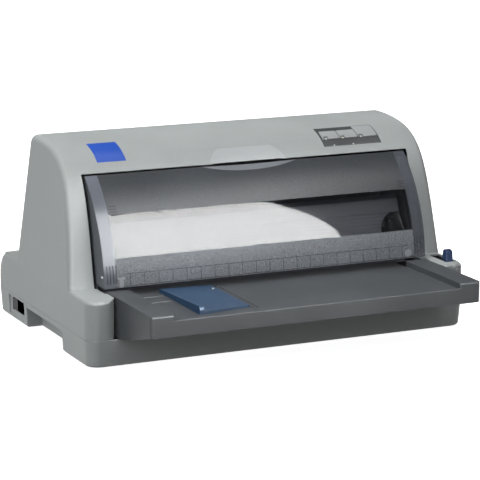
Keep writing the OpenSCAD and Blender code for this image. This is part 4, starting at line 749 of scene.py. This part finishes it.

# %% [markdown]
# ## The groove beside the guide, and the guide's peg
# Beside the edge guide the tray's deck has a long narrow groove, with a short notch near the
# machine. Both are deep, so all that shows of them is the shade inside, a dark line. They could
# be cut into the tray, but a black bar that stands a hair proud of the deck is painted shade
# that looks the same from above, and the tray keeps its CAD shape. The pale peg on the guide is
# a turned piece: a profile of radii and heights, swept once round an upright axis.

# %% The groove and the notch in the deck
# painted shade: black bars stand for the shade inside the deep groove and notch
groove_black = moulded("groove_black", (0.012, 0.013, 0.015), 0.6)
guide_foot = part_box("edge_guide")[0][2]
guide_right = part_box("edge_guide")[1][0]
deck = guide_foot + 0.0048    # height of the tray's deck


def low_bar(name, size, middle, finish, body):
    """A thin bar with soft edges, its middle at a point given in metres."""
    bar = soft_bar(name, size, min(size) * 0.35)
    bar.data.transform(Matrix.Translation(middle))
    bar.data.materials.append(finish)
    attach(bar, body)
    print(name, len(bar.data.polygons), "faces")


for name, size, beside, y in (("deck_groove", (0.0022, 0.102, 0.0003), 0.0078, -0.1250),
                              ("deck_notch", (0.0040, 0.0070, 0.0003), 0.0046, -0.0705)):
    low_bar(name, size, (guide_right + beside, y, deck), groove_black, body_of["front_tray"])


# %% The guide's peg
def turned(profile, x=0, y=0, base=0):
    """Turns a profile of radii and heights about an upright axis and closes its far end."""
    bm = bmesh.new()
    rings = [[bm.verts.new((x + u, y + v, base + z)) for u, v in disc(r)] for r, z in profile]
    for low, high in zip(rings, rings[1:]):
        for i in range(len(low)):
            k = (i + 1) % len(low)
            bm.faces.new((low[i], low[k], high[k], high[i]))
    bm.faces.new(rings[-1])
    return bm, rings


def peg(name, x, y, base, radius, height, finish, body):
    """A turned peg with a rounded head."""
    bm, rings = turned([(radius, 0), (radius, height * 0.6), (radius * 0.8, height * 0.88),
                        (radius * 0.4, height)], x, y, base)
    bm.faces.new(rings[0][::-1])
    obj = link_object(name, mesh_from(name, bm))
    for face in obj.data.polygons:
        face.use_smooth = True
    obj.data.materials.append(finish)
    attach(obj, body)
    print(name, len(obj.data.polygons), "faces")


peg("guide_peg", -0.0800, -0.0877, guide_foot + 0.0070, 0.0014, 0.0014, acetal,
    body_of["edge_guide"])

# %% [markdown]
# ## Rows inside the machine
# Once the covers are open, four rows catch the eye: the teeth of the carriage belt, the bars
# on the two grips of the ribbon cartridge, the contacts of the parallel socket and the pins
# of the chips on the main board. All but the belt's are grids; its teeth follow a closed path.

# %% Belt teeth on a closed path
BELT_THICK = 0.0014
TOOTH_PITCH = 0.002032
belt_low, belt_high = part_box("timing_belt")
belt_half = (belt_high[1] - belt_low[1]) / 2
belt_inner = belt_half - BELT_THICK
belt_middle = (belt_high[1] + belt_low[1]) / 2


def belt_path(name, reach, half, middle, z, steps=24):
    """A flat loop of edges: two straight runs joined by half circles of radius half."""
    points = []
    for side in (1, -1):
        for i in range(steps + 1):
            a = math.pi * (i / steps - 0.5)
            points.append((side * (reach + half * math.cos(a)),
                           middle + side * half * math.sin(a), z))
    mesh = bpy.data.meshes.new(name)
    mesh.from_pydata(points, [(i, (i + 1) % len(points)) for i in range(len(points))], [])
    return mesh


tooth = soft_bar("belt_tooth", (0.0010, 0.0005, belt_high[2] - belt_low[2] - 0.0004), 0.00015)
loop = belt_path("belt_teeth", belt_high[0] - belt_half, belt_inner + 0.0001, belt_middle,
                 (belt_low[2] + belt_high[2]) / 2)
grown("belt_teeth", path_tree, body_of["timing_belt"], "rubber", loop,
      shape=tooth, pitch=TOOTH_PITCH, finish=black_rubber)

# %% Bars on the cartridge's grips
box_low, box_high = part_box("ribbon_cartridge")
box_middle = (box_low[0] + box_high[0]) / 2
for name, side in (("left", -1), ("right", 1)):
    row("cartridge_grip_" + name, "ribbon_cartridge", "dark_plastic", inner_grey,
        soft_bar("grip_bar", (0.0012, 0.018, 0.0008), 0.0003), 6, 0.0026,
        (box_middle + side * 0.034, box_low[1] + 0.045, box_high[2] - 0.0040))

# %% Contacts of the parallel socket
gilt = metal("gilt_contact", (0.70, 0.52, 0.20), 0.25)
socket_low, socket_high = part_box("parallel_connector")
socket_middle = (socket_low[0] + socket_high[0]) / 2
for name, z in (("lower", socket_low[2] + 0.0053), ("upper", socket_high[2] - 0.0053)):
    row("parallel_contacts_" + name, "parallel_connector", "brass", gilt,
        soft_bar("contact", (0.0010, 0.0070, 0.0004), 0.0001), 18, 0.00216,
        (socket_middle, socket_high[1] - 0.0048, z))

# %% Pins of the chips
board_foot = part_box("main_board")[0][2]
for name, behind in (("front", 0.176), ("rear", 0.198)):
    row("chip_pins_" + name, "main_board", "sheet_steel", zinc_sheet,
        soft_bar("chip_pin", (0.0006, 0.0018, 0.0008), 0.0001), 9, 0.0021,
        (-0.080, FRONT + behind, board_foot + 0.0021), 2, 0.0138)

# %% [markdown]
# ## Screws
# Four long screws hold the two halves of the case. Seen from below, each head is a shallow
# dome with a cross recess, which a plain cylinder can't suggest. One head is made by cutting a
# cross out of a turned profile, and the same tree sets it on all four corners.

# %% Shape one screw
def cross_outline(thin, reach):
    return [(thin, reach), (thin, thin), (reach, thin), (reach, -thin), (thin, -thin),
            (thin, -reach), (-thin, -reach), (-thin, -thin), (-reach, -thin), (-reach, thin),
            (-thin, thin), (-thin, reach)]


def long_screw(name, radius, height, shank, length):
    """A turned head that looks down, with a cross pressed into it, on a plain shank."""
    bm, rings = turned([
        (radius * 0.80, 0.0), (radius * 0.95, height * 0.2), (radius, height * 0.5),
        (radius, height), (shank, height), (shank, length - shank), (shank * 0.3, length)])
    cross = cross_outline(radius * 0.16, radius * 0.55)
    rim = [bm.verts.new((x, y, 0)) for x, y in cross]
    deep = [bm.verts.new((x * 0.6, y * 0.6, height * 0.6)) for x, y in cross]
    for i in range(len(cross)):
        k = (i + 1) % len(cross)
        bm.faces.new((rim[i], rim[k], deep[k], deep[i]))
    bm.faces.new(deep)
    edges = [bm.edges.get((loop[i], loop[(i + 1) % len(loop)])) for loop in (rings[0], rim)
             for i in range(len(loop))]
    bmesh.ops.triangle_fill(bm, use_beauty=True, edges=edges)
    return link_object(name, mesh_from(name, bm))


# %% Set the screws in the corners
screw_low, screw_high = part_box("case_screws")
for name, half, behind in (("front", 0.209, 0.012), ("rear", 0.218, 0.258)):
    screw = long_screw("screw", 0.0030, 0.0024, 0.0016, screw_high[2] - screw_low[2])
    piece = row("case_screws_" + name, "case_screws", "bright_steel", zinc_sheet, screw, 2,
                2 * half, (0, FRONT + behind, screw_low[2]))
    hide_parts("case_screws")

# %% [markdown]
# ## Floor and light
# The studio is a white sheet with large soft lamps. Two more lamps are seen only in glossy
# reflections: a tall white board in front of the machine, whose edge draws a curve across the
# polished window, and a small one above it on the right, which leaves a faint cloud on the
# textured strip.

# %% Floor
def make_floor():
    bm = bmesh.new()
    bmesh.ops.create_grid(bm, x_segments=8, y_segments=8, size=6)
    mesh = bpy.data.meshes.new("studio_floor")
    bm.to_mesh(mesh)
    bm.free()
    material, tree, shader = new_material("studio_white")
    tones = ramp(tree, noise(tree, 1.5, 2), [(NOISE_LOW, (0.90,) * 3), (NOISE_HIGH, (0.93,) * 3)])
    tree.links.new(tones, shader.inputs["Base Color"])
    for label, value in (("Roughness", 0.9), ("Specular IOR Level", 0.1),
                         ("Emission Color", (1, 1, 1, 1)), ("Emission Strength", 0.9)):
        shader.inputs[label].default_value = value
    mesh.materials.append(material)
    floor = link_object("studio_floor", mesh)
    floor.visible_diffuse = False
    print("floor:", [round(v, 1) for v in floor.dimensions], "metres")


make_floor()

# %% Lamps
MIDDLE = (0, 0, 0.1)    # the point of the machine that the soft boxes aim at


def lamp(name, place, aim, width, height, power, glossy_only=False):
    data = bpy.data.lights.new(name, "AREA")
    data.shape = "RECTANGLE"
    data.size = width
    data.size_y = height
    data.energy = power
    obj = link_object(name, data)
    obj.location = place
    obj.rotation_euler = (Vector(aim) - Vector(place)).to_track_quat("-Z", "Y").to_euler()
    obj.visible_camera = False
    if glossy_only:
        obj.visible_diffuse = False
        obj.visible_transmission = False
        obj.visible_volume_scatter = False


lamp("soft_box_above", (-0.3, 0.10, 2.2), MIDDLE, 1.8, 1.8, 43)
lamp("soft_box_left", (-2.0, -0.4, 1.0), MIDDLE, 1.6, 1.2, 19.5)
lamp("soft_box_front", (-0.6, -2.6, 1.5), MIDDLE, 1.6, 1.0, 6)
lamp("white_board", (-0.15, -0.45, 0.425), (-0.15, 0.0, 0.425), 0.90, 0.55, 48, True)
lamp("small_board", (0.46, -0.50, 0.98), (0.05, -0.05, 0.17), 0.14, 0.20, 6, True)
print(len(bpy.data.lights), "lamps")

# %% The air around them
world = bpy.data.worlds.new("studio_air")
world.use_nodes = True
air = world.node_tree.nodes["Background"]
air.inputs["Color"].default_value = (1, 1, 1, 1)
air.inputs["Strength"].default_value = 0.17
bpy.context.scene.world = world
bpy.context.scene.view_settings.view_transform = "Standard"
print("air strength", round(air.inputs["Strength"].default_value, 3))
